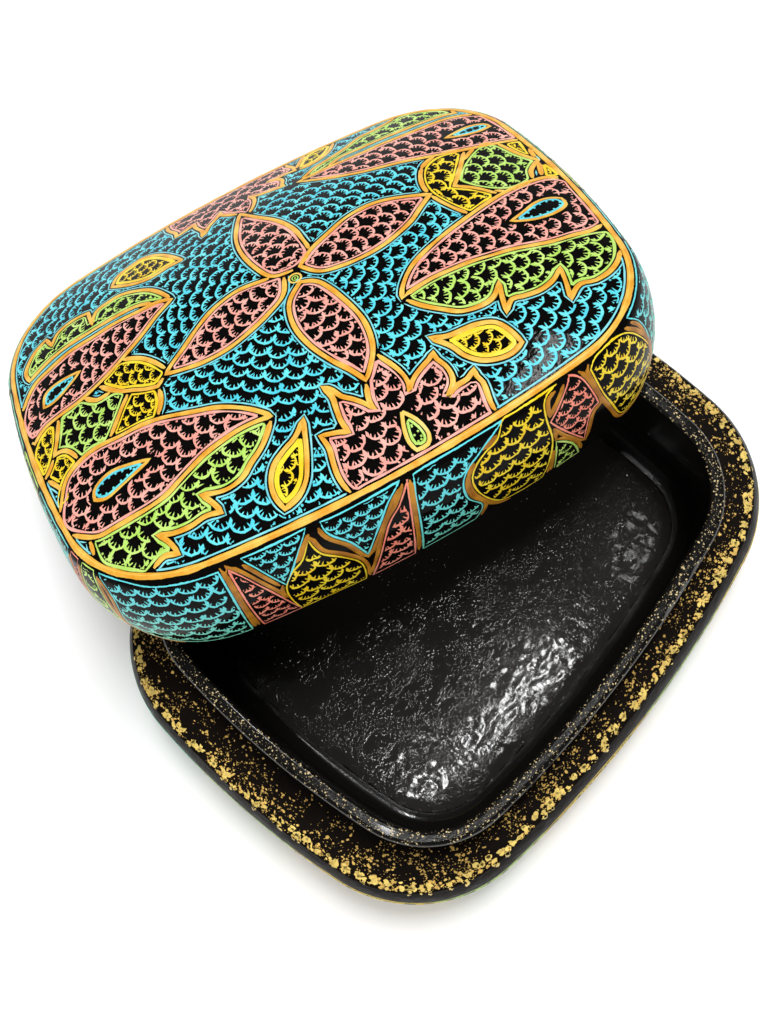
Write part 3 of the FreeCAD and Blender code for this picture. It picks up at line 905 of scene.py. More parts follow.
class Painter:
    """Lays bands, lines, scales and dots of a set of regions in their colours. Lengths are millimetres."""

    # Where a scale is tested for lying wholly inside its field, as shares of its width.
    COMB_TEST_SHARES = ((0.0, 0.0), (-0.52, 0.25), (0.52, 0.25), (0.0, -0.2), (0.0, 0.3))
    # Scales stand this share of their width apart, and may reach this share over their field's edge.
    COMB_APART_SHARE = 1.02
    COMB_OVER_SHARE = 0.4
    # A stroke breaks where two points lie so many steps apart, its ends narrow to a share, and this is
    # the scale at which its width wanders.
    BREAK_STEPS = 3.2
    END_WIDTH_SHARE = 0.35
    WANDER = 0.22
    # A gold band and the lighter stroke along it, a second tone of paint that is also the band's painted
    # highlight: how many times as high as thin paint both are, the stroke's share of the band's width, and
    # how far out of the band's middle it runs.
    BAND_HEIGHT, LIGHT_HEIGHT = 1.5, 1.9
    LIGHT_SHARE, LIGHT_PLACE = 0.26, 0.3
    # The black line left between a gold band and the thin lines beside it.
    LINE_GAP = 0.42
    DOT_CHANCE = 0.6
    DOT_RADIUS = (0.24, 0.42)
    # How unevenly scales are set: along and across a row, outwards in a ring, in turn, and in size.
    ROW_JITTER = (0.35, 0.3)
    RING_JITTER = 0.25
    ROW_TURN, RING_TURN = 0.18, 0.14
    COMB_SIZES = (0.9, 1.1)

    def __init__(self, settings, seed):
        self.rng = random.Random(seed)
        self.templates = comb_templates(self.rng, settings)
        self.rise = settings.paint_rise / MM
        self.brushes = {}
        self.comb = settings.comb_width / MM
        self.row = settings.comb_row / MM
        self.band = settings.band_width / MM
        self.line = settings.line_width / MM

    def brush(self, colour):
        """The brush of one colour."""
        if colour not in self.brushes:
            self.brushes[colour] = Brush(self.rise)
        return self.brushes[colour]

    def finish(self, place, surface, body, slot):
        """Wrap the paint of every colour onto its surface, one piece a colour."""
        for colour, brush in self.brushes.items():
            brush.finish(f"{place}_{colour}_paint", surface, paint_material(colour), body, slot)

    def stroke(self, colour, path, width, closed=True, profile=Brush.THIN, rise=None, keep=None,
               uneven=0.3):
        """A line of nearly even width, broken where it isn't kept."""
        line = path + path[:1] if closed else path
        run = []
        for spot in line + [None]:
            broken = (spot is None or (run and (spot - run[-1]).length > PATH_STEP * self.BREAK_STEPS)
                      or (keep is not None and not keep(spot)))
            if not broken:
                run.append(spot)
                continue
            if len(run) > 2:
                widths = [width * (1 + uneven * noise.noise(Vector((p.x * self.WANDER, p.y * self.WANDER,
                                                                    width)))) for p in run]
                if not closed or len(run) < len(line):
                    widths[0] *= self.END_WIDTH_SHARE
                    widths[-1] *= self.END_WIDTH_SHARE
                self.brush(colour).ribbon(run, widths, profile, rise)
            run = [spot] if spot is not None and (keep is None or keep(spot)) else []

    def band_along(self, region, keep):
        """The gold band on a region's outline, with a lighter stroke along it that is also its painted
        highlight.
        """
        self.stroke("gold", region.path, self.band, profile=Brush.BROAD,
                    rise=self.rise * self.BAND_HEIGHT, keep=keep)
        self.stroke("light", region.beside(self.LIGHT_PLACE), self.band * self.LIGHT_SHARE,
                    rise=self.rise * self.LIGHT_HEIGHT, keep=keep)

    def border_lines(self, region, others, inside):
        """The thin line inside a region and the pale one round it, both inside the crown band."""
        gap = self.band / 2 + self.LINE_GAP

        def clear(spot):
            return inside(spot) and all(other is region or other.depth(spot) < -self.band * 0.72
                                        for other in others)

        self.stroke(region.colour, region.beside(-gap - 0.06), self.line * 1.4, keep=inside, uneven=0.7)
        self.stroke("sky", region.beside(gap + 0.1), self.line * 0.9, keep=clear)

    def jitter(self, most):
        """A small random number, up to the most either way."""
        return self.rng.uniform(-most, most)

    def try_comb(self, spot, angle, depth_at, brush, margin, scale=1.0):
        """Put a scale at a place, cut where it runs over the edge of its field."""
        if depth_at(spot) < margin - self.comb * self.COMB_OVER_SHARE * scale:
            return
        turn = Matrix.Rotation(angle, 2)
        size = self.rng.uniform(*self.COMB_SIZES) * scale
        inside = all(depth_at(spot + turn @ Vector(test) * self.comb * size) > margin
                     for test in self.COMB_TEST_SHARES)
        brush.stamp(self.rng.choice(self.templates), spot, angle, size,
                    None if inside else lambda place: depth_at(place) > margin)

    def fill_rows(self, region, angle, depth_at, margin, scale=1.0):
        """Straight rows of scales that open in one direction."""
        brush = self.brush(region.colour)
        turn = Matrix.Rotation(angle, 2)
        comb, between = self.comb * scale, self.row * scale
        reach = (region.high - region.low).length / 2 + comb
        rows = math.ceil(reach / between)
        columns = math.ceil(reach / comb)
        for row in range(-rows, rows + 1):
            for column in range(-columns, columns + 1):
                shift = 0.5 if row % 2 else 0.0
                flat = Vector(((column + shift) * comb * self.COMB_APART_SHARE, row * between))
                flat += Vector([self.jitter(most) for most in self.ROW_JITTER]) * scale
                spot = region.middle + turn @ flat
                if not region.near(spot, 0):
                    continue
                self.try_comb(spot, angle + self.jitter(self.ROW_TURN), depth_at, brush, margin, scale)

    def fill_rings(self, middle, reach, depth_at, margin, colour):
        """Rings of scales round a middle, all open towards it."""
        brush = self.brush(colour)
        ring = self.row
        number = 0
        while ring < reach:
            count = max(6, round(math.tau * ring / (self.comb * self.COMB_APART_SHARE)))
            for step in range(count):
                angle = math.tau * (step + number % 2 / 2) / count
                far = ring + self.jitter(self.RING_JITTER)
                spot = middle + Vector((math.cos(angle), math.sin(angle))) * far
                self.try_comb(spot, angle + math.pi / 2 + self.jitter(self.RING_TURN), depth_at, brush,
                              margin)
            ring += self.row
            number += 1

    def edge_dots(self, region, distance, colour, keep):
        """Scattered dots just inside a region's thin line, or just outside with a positive distance."""
        brush = self.brush(colour)
        for spot in region.beside(distance)[::2]:
            if self.rng.random() < self.DOT_CHANCE and keep(spot):
                brush.dot(spot, self.rng.uniform(*self.DOT_RADIUS))

    def even_dots(self, region, distance, colour, radius):
        """Even dots all along inside a region's outline."""
        for spot in region.beside(-distance)[::2]:
            self.brush(colour).dot(spot, radius)


# How deep inside the lid's outline, in millimetres, a field's corner near it is moved to, thin lines begin,
# and the ground's scales begin; a corner less deep than that last one is moved.
CROWN_LINE = 3.4
CROWN_EDGE = 4.0
CROWN_INSET = 5.0
# A corner this near an earlier outline, in millimetres, is moved onto it, so neighbours share one band.
SNAP = 2.2
WIDE_SNAP = 3.0
# A band this near an earlier outline is left out, and scales keep this far inside a wall panel.
SHARED_BAND = 0.45
PANEL_MARGIN = 0.45


def dome_corners(tree, pixels):
    """The places in plan, on the lid, of some pixels."""
    return [lid_spot(tree, pixel).xy for pixel in pixels]


def dome_region(wall, corners, colour, earlier=(), snap=SNAP):
    """A region of the dome, joined to its neighbours and kept inside the crown band."""
    joined = []
    for spot in corners:
        if wall.depth(spot) < CROWN_INSET:
            edge, outward = wall.at(wall.locate(spot))
            spot = edge - outward * CROWN_LINE
        for other in earlier:
            if abs(other.depth(spot)) < snap:
                spot = nearest_on(other.path, spot)
                break
        joined.append(spot)
    return Region(smooth_path(joined), colour)


def wall_region(tree, wall, pixels, colour):
    """A region of the unrolled wall from its pixels, kept between the rim and the crown band."""
    corners = []
    for pixel in pixels:
        spot = wall.unroll(lid_spot(tree, pixel))
        corners.append(Vector((spot.x, min(WALL_TOP, max(WALL_FOOT, spot.y)))))
    return Region(smooth_path(corners), colour)


def lid_surfaces():
    """The lid's search tree, its dome and its unrolled wall."""
    tree = node_tree_of("lid_shell", LID_FRAME)
    wall = WallSurface(tree, LID_FRAME, LID_RING_HEIGHT, WALL_BEND, SHOULDER_ROUND)
    return tree, PlanSurface(tree, LID_FRAME), wall


class BOX_OT_lacquer(bpy.types.Operator):
    """Give the moulded shells and the collar their black lacquer"""

    bl_idname = "box.lacquer"
    bl_label = "Lacquer the Shells"

    FINISHES = {"base_shell": "lacquer_base", "inner_collar": "lacquer_collar", "lid_shell": "lacquer_lid"}

    def execute(self, context):
        for node, finish in self.FINISHES.items():
            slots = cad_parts[node].material_slots
            if not slots:
                raise RuntimeError(f"{node} has no material slot")
            material = lacquer_material(finish)
            for material_slot in slots:
                material_slot.material = material
        return {"FINISHED"}


class BOX_OT_floor(bpy.types.Operator):
    """Lay the crinkled lacquered sheet on the floor of the base"""

    bl_idname = "box.floor"
    bl_label = "Lay the Crinkled Floor"

    # In millimetres: the sheet's mesh, how far its edge reaches over the node's, over what width the
    # crinkles fade towards it, and how far the sheet lies below the node's top there and in the middle.
    STEP = 0.62
    OVERLAP = 0.3
    FADE = 2.2
    SUNK = 0.12
    LIFT = 0.1
    # Folds, ripples and waves: the share of each in the crinkles' height, and its size.
    FOLD_SHARE, FOLD_SHARPNESS = 0.42, 2.2
    RIPPLE_SHARE, RIPPLE_SCALE, RIPPLE_START = 0.38, 2.3, Vector((7, 3, 1))
    WAVE_SHARE, WAVE_SCALE, WAVE_START = 0.7, 0.28, Vector((1, 9, 4))

    def execute(self, context):
        settings = context.scene.box_lacquer
        low, high = corners_of("floor_lining")
        outline = floor_outline(node_tree_of("floor_lining", BASE_FRAME), "floor_lining")
        sheet = bmesh.new()
        bmesh.ops.create_grid(sheet, x_segments=round((high.x - low.x) / self.STEP),
                              y_segments=round((high.y - low.y) / self.STEP), size=0.5)
        bmesh.ops.scale(sheet, vec=(high.x - low.x, high.y - low.y, 1), verts=sheet.verts)
        outside = [vertex for vertex in sheet.verts if outline.depth(vertex.co.xy) < -self.OVERLAP]
        bmesh.ops.delete(sheet, geom=outside, context="VERTS")
        for vertex in sheet.verts:
            height = self.crinkle(vertex.co / (settings.crinkle_length / MM)) * (settings.crinkle / MM)
            edge = min(1.0, max(0.0, outline.depth(vertex.co.xy) / self.FADE))
            vertex.co.z = high.z - self.SUNK + (height + self.LIFT) * edge - (1 - edge) * self.SUNK
        bmesh.ops.scale(sheet, vec=(MM, MM, MM), verts=sheet.verts)
        piece = piece_from(sheet, "floor_crinkled_sheet", lacquer_material("lacquer_floor"), "base")
        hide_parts("floor_lining")
        return {"FINISHED"}

    def crinkle(self, place):
        """The height of the crinkles at a place, as a share of their depth."""
        fold = 1 - abs(noise.noise(place)) * self.FOLD_SHARPNESS
        ripple = noise.noise(place * self.RIPPLE_SCALE + self.RIPPLE_START)
        wave = noise.noise(place * self.WAVE_SCALE + self.WAVE_START)
        return self.FOLD_SHARE * fold + self.RIPPLE_SHARE * ripple + self.WAVE_SHARE * wave


class BOX_OT_lid_paint(bpy.types.Operator):
    """Paint the flower, paisleys, leaves, bands and scales on the lid"""

    bl_idname = "box.lid_paint"
    bl_label = "Paint the Lid"

    # The panels round each end of the wall, with their shares of its length, how far they bow out, how far
    # the first one reaches under the front's last panel, and half the space between two.
    END_PANELS = (("teal", 0.25), ("teal", 0.235), ("lime", 0.16), ("teal", 0.235), ("coral", 0.055),
                  ("lime", 0.065))
    END_BOW = 1.2
    END_LAP = 5.0
    END_SHORT = 0.9
    END_GAP = 0.85
    # The ring in the flower's middle, in millimetres.
    RING_POINTS = 20
    RING_RADIUS = 1.5
    RING_CLEAR = 1.0
    DROP_SCALE = 0.72
    # The black line left between a band and the scales, and how far inside that the dots lie.
    FIELD_GAP = 0.8
    DOT_INSIDE = 0.35

    def execute(self, context):
        settings = context.scene.box_paint
        tree, dome, wall = lid_surfaces()
        self.paint_dome(settings, tree, dome, wall)
        self.paint_wall(settings, tree, wall)
        return {"FINISHED"}

    def dome_fields(self, tree, wall):
        """The petals, paisleys, lotus flowers, leaves and diamonds of the dome."""
        fields = []

        def add(corners, colour, snap=SNAP):
            fields.append(dome_region(wall, corners, colour, fields, snap))

        for pixels in (*PETALS.values(), *PAISLEYS.values(), LOTUS):
            add(dome_corners(tree, pixels), "pink")
        add([Vector((spot.x + BACK_LOTUS_SHIFT,
                     BACK_LOTUS_EDGE - (BACK_LOTUS_EDGE + spot.y) * BACK_LOTUS_HEIGHT))
             for spot in dome_corners(tree, LOTUS)], "pink")
        for pixels in LEAVES.values():
            add(dome_corners(tree, pixels), "lime")
        for colour, pixels in END_DIAMONDS.values():
            add(dome_corners(tree, pixels), colour, WIDE_SNAP)
        return fields

    def paint_dome(self, settings, tree, dome, wall):
        """The crown's picture, in plan."""
        painter = Painter(settings, settings.seed)
        middle = lid_spot(tree, FLOWER_MIDDLE).xy
        fields = self.dome_fields(tree, wall)
        drops = [dome_region(wall, dome_corners(tree, pixels), "yellow", fields)
                 for pixels in YELLOW_DROPS.values()]
        eyes = [Region(smooth_path(dome_corners(tree, pixels)), "cyan") for pixels in PAISLEY_EYES.values()]
        seed_drop = Region(smooth_path(dome_corners(tree, LOTUS_DROP)), "lime")
        outlined = fields + drops
        margin = painter.band / 2 + self.FIELD_GAP

        def in_crown(spot):
            return wall.depth(spot) > CROWN_EDGE

        def ground_depth(spot):
            near = wall.depth(spot) - CROWN_INSET + margin
            if near < margin:
                return near
            for other in outlined:
                near = min(near, -other.depth(spot))
            return min(near, (spot - middle).length - self.RING_CLEAR)

        for number, field in enumerate(outlined):
            def bare(spot, earlier=outlined[:number]):
                return (wall.depth(spot) > CROWN_EDGE + 0.3
                        and all(abs(other.depth(spot)) > SHARED_BAND for other in earlier))

            painter.band_along(field, bare)
            painter.border_lines(field, outlined, in_crown)
        for field in fields:
            inner = [other for other in eyes + [seed_drop] if holds(field.path, other.middle)]

            def depth_at(spot, field=field, inner=inner):
                near = min(field.depth(spot), wall.depth(spot) - CROWN_EDGE + margin)
                for other in inner:
                    near = min(near, -other.depth(spot) + 0.3)
                return near

            away = field.middle - middle
            painter.fill_rows(field, math.atan2(away.y, away.x) + math.pi / 2, depth_at, margin,
                              field.comb_scale())
            painter.edge_dots(field, -margin - self.DOT_INSIDE, field.colour,
                              lambda spot, depth_at=depth_at: depth_at(spot) > margin)
        for drop in drops:
            painter.stroke("yellow", drop.beside(-painter.band / 2 - 0.6), painter.line * 2.4)
            painter.fill_rows(drop, math.pi / 4, drop.depth, painter.band / 2 + 1.0, self.DROP_SCALE)
        for eye in eyes:
            painter.stroke("gold", eye.path, painter.band * 0.72, profile=Brush.BROAD)
            painter.stroke("cyan", eye.beside(-painter.band * 0.55), painter.line * 1.3)
            painter.even_dots(eye, painter.band * 0.95, "cyan", 0.4)
        painter.stroke("light", seed_drop.path, painter.band * 0.8, profile=Brush.BROAD,
                       rise=painter.rise * 1.5)
        painter.stroke("lime", seed_drop.beside(-painter.band * 0.75), painter.line * 1.5)
        painter.even_dots(seed_drop, painter.band * 1.3, "lime", 0.35)
        self.paint_crown_line(painter, wall, outlined)
        self.paint_ring(painter, middle)
        reach = max(spot.length for spot in wall.spots) + middle.length
        painter.fill_rings(middle, reach, ground_depth, margin - 0.1, "cyan")
        for field in outlined:
            painter.edge_dots(field, margin + self.DOT_INSIDE, "cyan",
                              lambda spot: ground_depth(spot) > margin)
        painter.finish("dome", dome, "lid", "painted_shell")

    def paint_crown_line(self, painter, wall, outlined):
        """The thin pale line inside the crown band, where no field reaches it."""
        line = []
        for step, edge in enumerate(wall.spots):
            side = wall.spots[step - 1] - wall.spots[step - 3]
            line.append(edge - Vector((side.y, -side.x)).normalized() * (CROWN_EDGE + 0.55))
        painter.stroke("sky", line, painter.line,
                       keep=lambda spot: all(other.depth(spot) < -0.4 for other in outlined))

    def paint_ring(self, painter, middle):
        """The two rings and the dot in the middle of the flower."""
        turns = (math.tau * step / self.RING_POINTS for step in range(self.RING_POINTS))
        ring = [middle + Vector((math.cos(turn), math.sin(turn))) * self.RING_RADIUS for turn in turns]
        painter.stroke("light", ring, 0.8, rise=painter.rise * 2.4)
        painter.stroke("lime", [middle + (spot - middle) * 0.5 for spot in ring], 0.4,
                       rise=painter.rise * 2.4)
        painter.brush("lime").dot(middle, 0.35)

    def paint_wall(self, settings, tree, wall):
        """The crown band and the panels round the wall."""
        painter = Painter(settings, settings.seed + 1)
        half = wall.length / 2
        count = round(wall.length / PATH_STEP)
        crown = [Vector((wall.length * step / count - half, CROWN_HEIGHT)) for step in range(count + 1)]
        painter.stroke("gold", crown, painter.band * 1.2, closed=False, profile=Brush.BROAD,
                       rise=painter.rise * 1.7)
        # A lighter stroke along the crown band's upper side: a second tone of paint that is also the band's
        # painted highlight.
        painter.stroke("light", [spot + Vector((0, 0.25)) for spot in crown], painter.band * 0.4,
                       closed=False, rise=painter.rise * 2.3)
        front = [wall_region(tree, wall, pixels, colour) for colour, pixels in WALL_PANELS.values()]
        panels = [Region([spot + Vector((shift, 0)) for spot in panel.path], panel.colour)
                  for shift in (0.0, half) for panel in front]
        for panel in panels:
            self.paint_panel(painter, panel, panels)
        low = min(panel.low.x for panel in front)
        high = max(panel.high.x for panel in front)
        for shift in (0.0, half):
            self.paint_end(painter, high + shift, low + half + shift - self.END_SHORT)
        painter.finish("wall", wall, "lid", "painted_shell")

    def paint_panel(self, painter, panel, others=()):
        """One panel of the wall: its bands, thin line and rows of scales."""
        def above_rim(spot):
            return 0.4 < spot.y < CROWN_HEIGHT - 0.6

        def between(spot):
            return (spot.y < WALL_TOP - 0.3 and above_rim(spot)
                    and all(other is panel or other.depth(spot) < -0.3 for other in others))

        def depth_at(spot):
            return panel.depth(spot) if spot.y > 0.3 else -1.0

        painter.stroke("brown", panel.beside(0.95), painter.band * 0.9, profile=Brush.BROAD,
                       rise=painter.rise * 1.5, keep=between)
        painter.stroke(panel.colour, panel.path, painter.line, keep=above_rim, uneven=0.6)
        painter.fill_rows(panel, 0.0, depth_at, PANEL_MARGIN, panel.comb_scale())

    def paint_end(self, painter, start, end):
        """The panels of scales round one end, between the front ones and the back ones."""
        edge = start - self.END_LAP
        for number, (colour, share) in enumerate(self.END_PANELS):
            next_edge = (edge if number else start) + share * (end - start)
            bow = self.END_BOW if number % 2 else -self.END_BOW
            left, right = edge + self.END_GAP, next_edge - self.END_GAP
            if number:
                corners = ((left, WALL_TOP), (left - bow, WALL_TOP * 0.5), (left, WALL_FOOT))
            else:
                corners = ((left, WALL_TOP), (start, WALL_TOP * 0.7), (start + 1.0, WALL_FOOT))
            corners += ((right, WALL_FOOT), (right + bow, WALL_TOP * 0.5), (right, WALL_TOP))
            self.paint_panel(painter, Region(smooth_path(corners), colour))
            edge = next_edge


class BOX_OT_base_paint(bpy.types.Operator):
    """Paint the panels of scales on the base's wall"""

    bl_idname = "box.base_paint"
    bl_label = "Paint the Base"

    PANELS = 14
    COLOURS = ("lime", "yellow", "teal", "lime", "yellow", "lime", "yellow")
    # In millimetres: where the wall bends into the seat and how round it is there, the space beside a
    # panel and its lower edge, how far the painted part stays below the seat, how far panels and bands
    # stay below that, and the share of its width that a panel bows.
    BEND_BELOW = 1.5
    SEAT_ROUND = 2.0
    GAP = 1.1
    FOOT = 1.6
    TOP_BELOW = 5.2
    PANEL_BELOW = 1.4
    BAND_BELOW = 1.8
    BOW_SHARE = 0.16

    def execute(self, context):
        settings = context.scene.box_paint
        low, high = corners_of("base_shell")
        tree = node_tree_of("base_shell", BASE_FRAME)
        wall = WallSurface(tree, BASE_FRAME, (low.z + high.z) / 2, high.z - self.BEND_BELOW,
                           self.SEAT_ROUND)
        painter = Painter(settings, settings.seed + 2)
        top = high.z - self.TOP_BELOW
        panel_top = top - self.PANEL_BELOW
        width = wall.length / self.PANELS
        for number in range(self.PANELS):
            left, right = number * width + self.GAP, number * width + width - self.GAP
            bow = width * self.BOW_SHARE * (1 if number % 2 else -1)
            corners = ((left, self.FOOT), (right, self.FOOT), (right + bow, top * 0.5),
                       (right, panel_top), (left, panel_top), (left - bow, top * 0.5))
            panel = Region(smooth_path(corners), self.COLOURS[number % len(self.COLOURS)])
            painter.stroke("brown", panel.beside(0.9), painter.band * 0.8, profile=Brush.BROAD,
                           keep=lambda spot: spot.y < top - self.BAND_BELOW)
            painter.stroke(panel.colour, panel.path, painter.line)
            painter.fill_rows(panel, 0.0, panel.depth, PANEL_MARGIN)
        painter.finish("base", wall, "base", "lacquered_shell")
        return {"FINISHED"}


# The different shapes of flakes: how many, their corners, how much narrower the top is than the foot, and
# the least and the most that a corner lies out.
FLAKE_TEMPLATES = 10
FLAKE_CORNERS = (5, 6, 7)
FLAKE_TOP = 0.72
FLAKE_LEAST, FLAKE_MORE = 0.55, 0.75


def flake_templates(rng):
    """Small irregular flakes of gold leaf, about one unit in radius and height."""
    templates = []
    for number in range(FLAKE_TEMPLATES):
        shape = bmesh.new()
        corners = rng.choice(FLAKE_CORNERS)
        made = bmesh.ops.create_cone(shape, cap_ends=True, segments=corners, radius1=1.0,
                                     radius2=FLAKE_TOP, depth=1.0)["verts"]
        for vertex in made:
            stretch = FLAKE_LEAST + FLAKE_MORE * noise.random()
            vertex.co.x *= stretch
            vertex.co.y *= stretch
        templates.append(mesh_of(shape, f"flake_{number}"))
    return templates


class BOX_OT_flakes(bpy.types.Operator):
    """Scatter gold flakes over the seat, fine flecks over the collar and pale specks over the floor"""

    bl_idname = "box.flakes"
    bl_label = "Scatter the Gold Flakes"

    # In millimetres: how thick the flakes are, how far inside the base's outline the seat's flakes lie and
    # the larger ones among them end, and where and how far apart the clumps along its edge are.
    SEAT_RISE, EDGE_RISE, COLLAR_RISE, FLOOR_RISE = 0.05, 0.07, 0.04, 0.03
    SEAT_EDGE = 0.7
    SEAT_WIDTH = 10.3
    LARGE_WITHIN = 3.0
    CLUMP_INSIDE = (1.0, 2.0)
    CLUMP_STEP = (1.6, 4.6)
    CLUMP_SPREAD = 0.5
    CLUMP_COUNTS = (4, 6, 9)
    COLLAR_INSIDE = (0.2, 3.4)
    FLOOR_INSIDE = 2.0
    # How the flakes crowd together: the scale of the pattern, the chance where it is zero, its strength,
    # and the power that brings the seat's flakes nearer its edge.
    SEAT_CROWD, SEAT_CHANCE, SEAT_PATCHES = 0.16, 0.6, 1.3
    FLOOR_CROWD, FLOOR_CHANCE, FLOOR_PATCHES = 0.07, 0.5, 1.5
    TO_EDGE = 1.35
    # The least size of a flake, what is added to it at most, and the power that makes large ones rare. The
    # seat's sizes are shares of the largest flake, those of the collar and the floor are millimetres.
    SEAT_LEAST, LARGE_MORE, SEAT_MORE, SEAT_RARE = 0.14, 0.8, 0.5, 4
    CLUMP_SIZES = (0.3, 1.25)
    COLLAR_LEAST, COLLAR_MORE = 0.08, 0.26
    FLOOR_LEAST, FLOOR_MORE = 0.05, 0.13
    FINE_RARE = 3
    # A flake's length and width beside its size, and how far it may be turned from the edge's direction.
    LENGTH_SHARE = 1.15
    WIDTH_SHARES = (0.4, 1.0)
    TURN_SPREAD = 0.5

    def execute(self, context):
        settings = context.scene.box_flakes
        rng = random.Random(context.scene.box_paint.seed + 3)
        noise.seed_set(3)
        templates = flake_templates(rng)
        self.seat(settings, rng, templates)
        self.collar(settings, rng, templates)
        self.floor(settings, rng, templates)
        return {"FINISHED"}

    def flake(self, brush, rng, templates, place, size, outward):
        """One flake, longer along the edge it lies beside."""
        first = len(brush.mesh.verts)
        brush.mesh.from_mesh(rng.choice(templates))
        brush.mesh.verts.ensure_lookup_table()
        angle = math.atan2(outward.y, outward.x) + math.pi / 2 + rng.gauss(0, self.TURN_SPREAD)
        turn = (Matrix.Translation((place.x, place.y, 0)) @ Matrix.Rotation(angle, 4, "Z")
                @ Matrix.Diagonal((size * self.LENGTH_SHARE, size * rng.uniform(*self.WIDTH_SHARES),
                                   brush.rise, 1)))
        for vertex in brush.mesh.verts[first:]:
            vertex.co = turn @ vertex.co

    def seat(self, settings, rng, templates):
        """Gold flakes over the seat, larger and in clumps along its edge."""
        largest = settings.flake_size / MM
        tree = node_tree_of("base_shell", BASE_FRAME)
        high = corners_of("base_shell")[1]
        rim = WallSurface(tree, BASE_FRAME, high.z - 0.9, high.z, 1.0)
        seat = Brush(self.SEAT_RISE)
        edge = Brush(self.EDGE_RISE)
        for _ in range(settings.seat_flakes):
            spot, outward = rim.at(rng.uniform(0, rim.length))
            across = rng.random() ** self.TO_EDGE * self.SEAT_WIDTH + self.SEAT_EDGE
            place = spot - outward * across
            crowd = noise.noise(Vector((place.x, place.y, 0)) * self.SEAT_CROWD)
            if rng.random() > self.SEAT_CHANCE + self.SEAT_PATCHES * crowd:
                continue
            more = self.LARGE_MORE if across < self.LARGE_WITHIN else self.SEAT_MORE
            size = largest * (self.SEAT_LEAST + more * rng.random() ** self.SEAT_RARE)
            self.flake(seat, rng, templates, place, size, outward)
        along = 0.0
        while along < rim.length:
            spot, outward = rim.at(along)
            middle = spot - outward * rng.uniform(*self.CLUMP_INSIDE)
            for _ in range(rng.choice(self.CLUMP_COUNTS)):
                place = middle + Vector((rng.gauss(0, self.CLUMP_SPREAD), rng.gauss(0, self.CLUMP_SPREAD)))
                size = largest * rng.uniform(*self.CLUMP_SIZES)
                self.flake(edge, rng, templates, place, size, outward)
            along += rng.uniform(*self.CLUMP_STEP)
        top = PlanSurface(tree, BASE_FRAME)
        seat.finish("seat_gold_flakes", top, gold_material("gold_flakes", settings.gold, 0.15, 0.3),
                    "base", "lacquered_shell")
        edge.finish("seat_edge_gold", top, gold_material("gold_edge", settings.edge_gold, 0.0, 0.3),
                    "base", "lacquered_shell")

    def collar(self, settings, rng, templates):
        """Fine flecks over the collar's top."""
        tree = node_tree_of("inner_collar", BASE_FRAME)
        high = corners_of("inner_collar")[1]
        rim = WallSurface(tree, BASE_FRAME, high.z - 1.5, high.z, 1.0)
        flecks = Brush(self.COLLAR_RISE)
        for _ in range(settings.collar_flecks):
            spot, outward = rim.at(rng.uniform(0, rim.length))
            place = spot - outward * rng.uniform(*self.COLLAR_INSIDE)
            size = self.COLLAR_LEAST + self.COLLAR_MORE * rng.random() ** self.FINE_RARE
            self.flake(flecks, rng, templates, place, size, outward)
        flecks.finish("collar_gold_flecks", PlanSurface(tree, BASE_FRAME),
                      gold_material("gold_flecks", settings.fleck_gold, 0.2, 0.35), "base",
                      "lacquered_collar")

    def floor(self, settings, rng, templates):
        """Sparse pale specks over the crinkled sheet."""
        tree = node_tree_of("floor_lining", BASE_FRAME)
        low, high = corners_of("floor_lining")
        outline = floor_outline(tree, "floor_lining")
        specks = Brush(self.FLOOR_RISE)
        for _ in range(settings.floor_specks):
            place = Vector((rng.uniform(low.x, high.x), rng.uniform(low.y, high.y)))
            crowd = noise.noise(Vector((place.x, place.y, 9)) * self.FLOOR_CROWD)
            if (outline.depth(place) > self.FLOOR_INSIDE
                    and rng.random() < self.FLOOR_CHANCE + self.FLOOR_PATCHES * crowd):
                size = self.FLOOR_LEAST + self.FLOOR_MORE * rng.random() ** self.FINE_RARE
                self.flake(specks, rng, templates, place, size, Vector((0, 1)))
        specks.finish("floor_pale_specks", PlanSurface(tree, BASE_FRAME),
                      gold_material("pale_specks", settings.pale, 0.0, 0.3), "base", "lacquered_lining")


def aimed(name, lamp, place, direction, glossy=True):
    """A lamp in the scene that shines in a direction, seen in gloss or not."""
    holder = bpy.data.objects.new(name, lamp)
    holder.location = place
    holder.rotation_euler = direction.to_track_quat("-Z", "Y").to_euler()
    holder.visible_glossy = glossy
    bpy.context.scene.collection.objects.link(holder)
    return holder


def softbox(name, place, target, width, length, power, glossy=True):
    """A rectangular soft light."""
    lamp = bpy.data.lights.new(name, "AREA")
    lamp.shape = "RECTANGLE"
    lamp.size = width
    lamp.size_y = length
    lamp.energy = power
    return aimed(name, lamp, place, target - place, glossy)


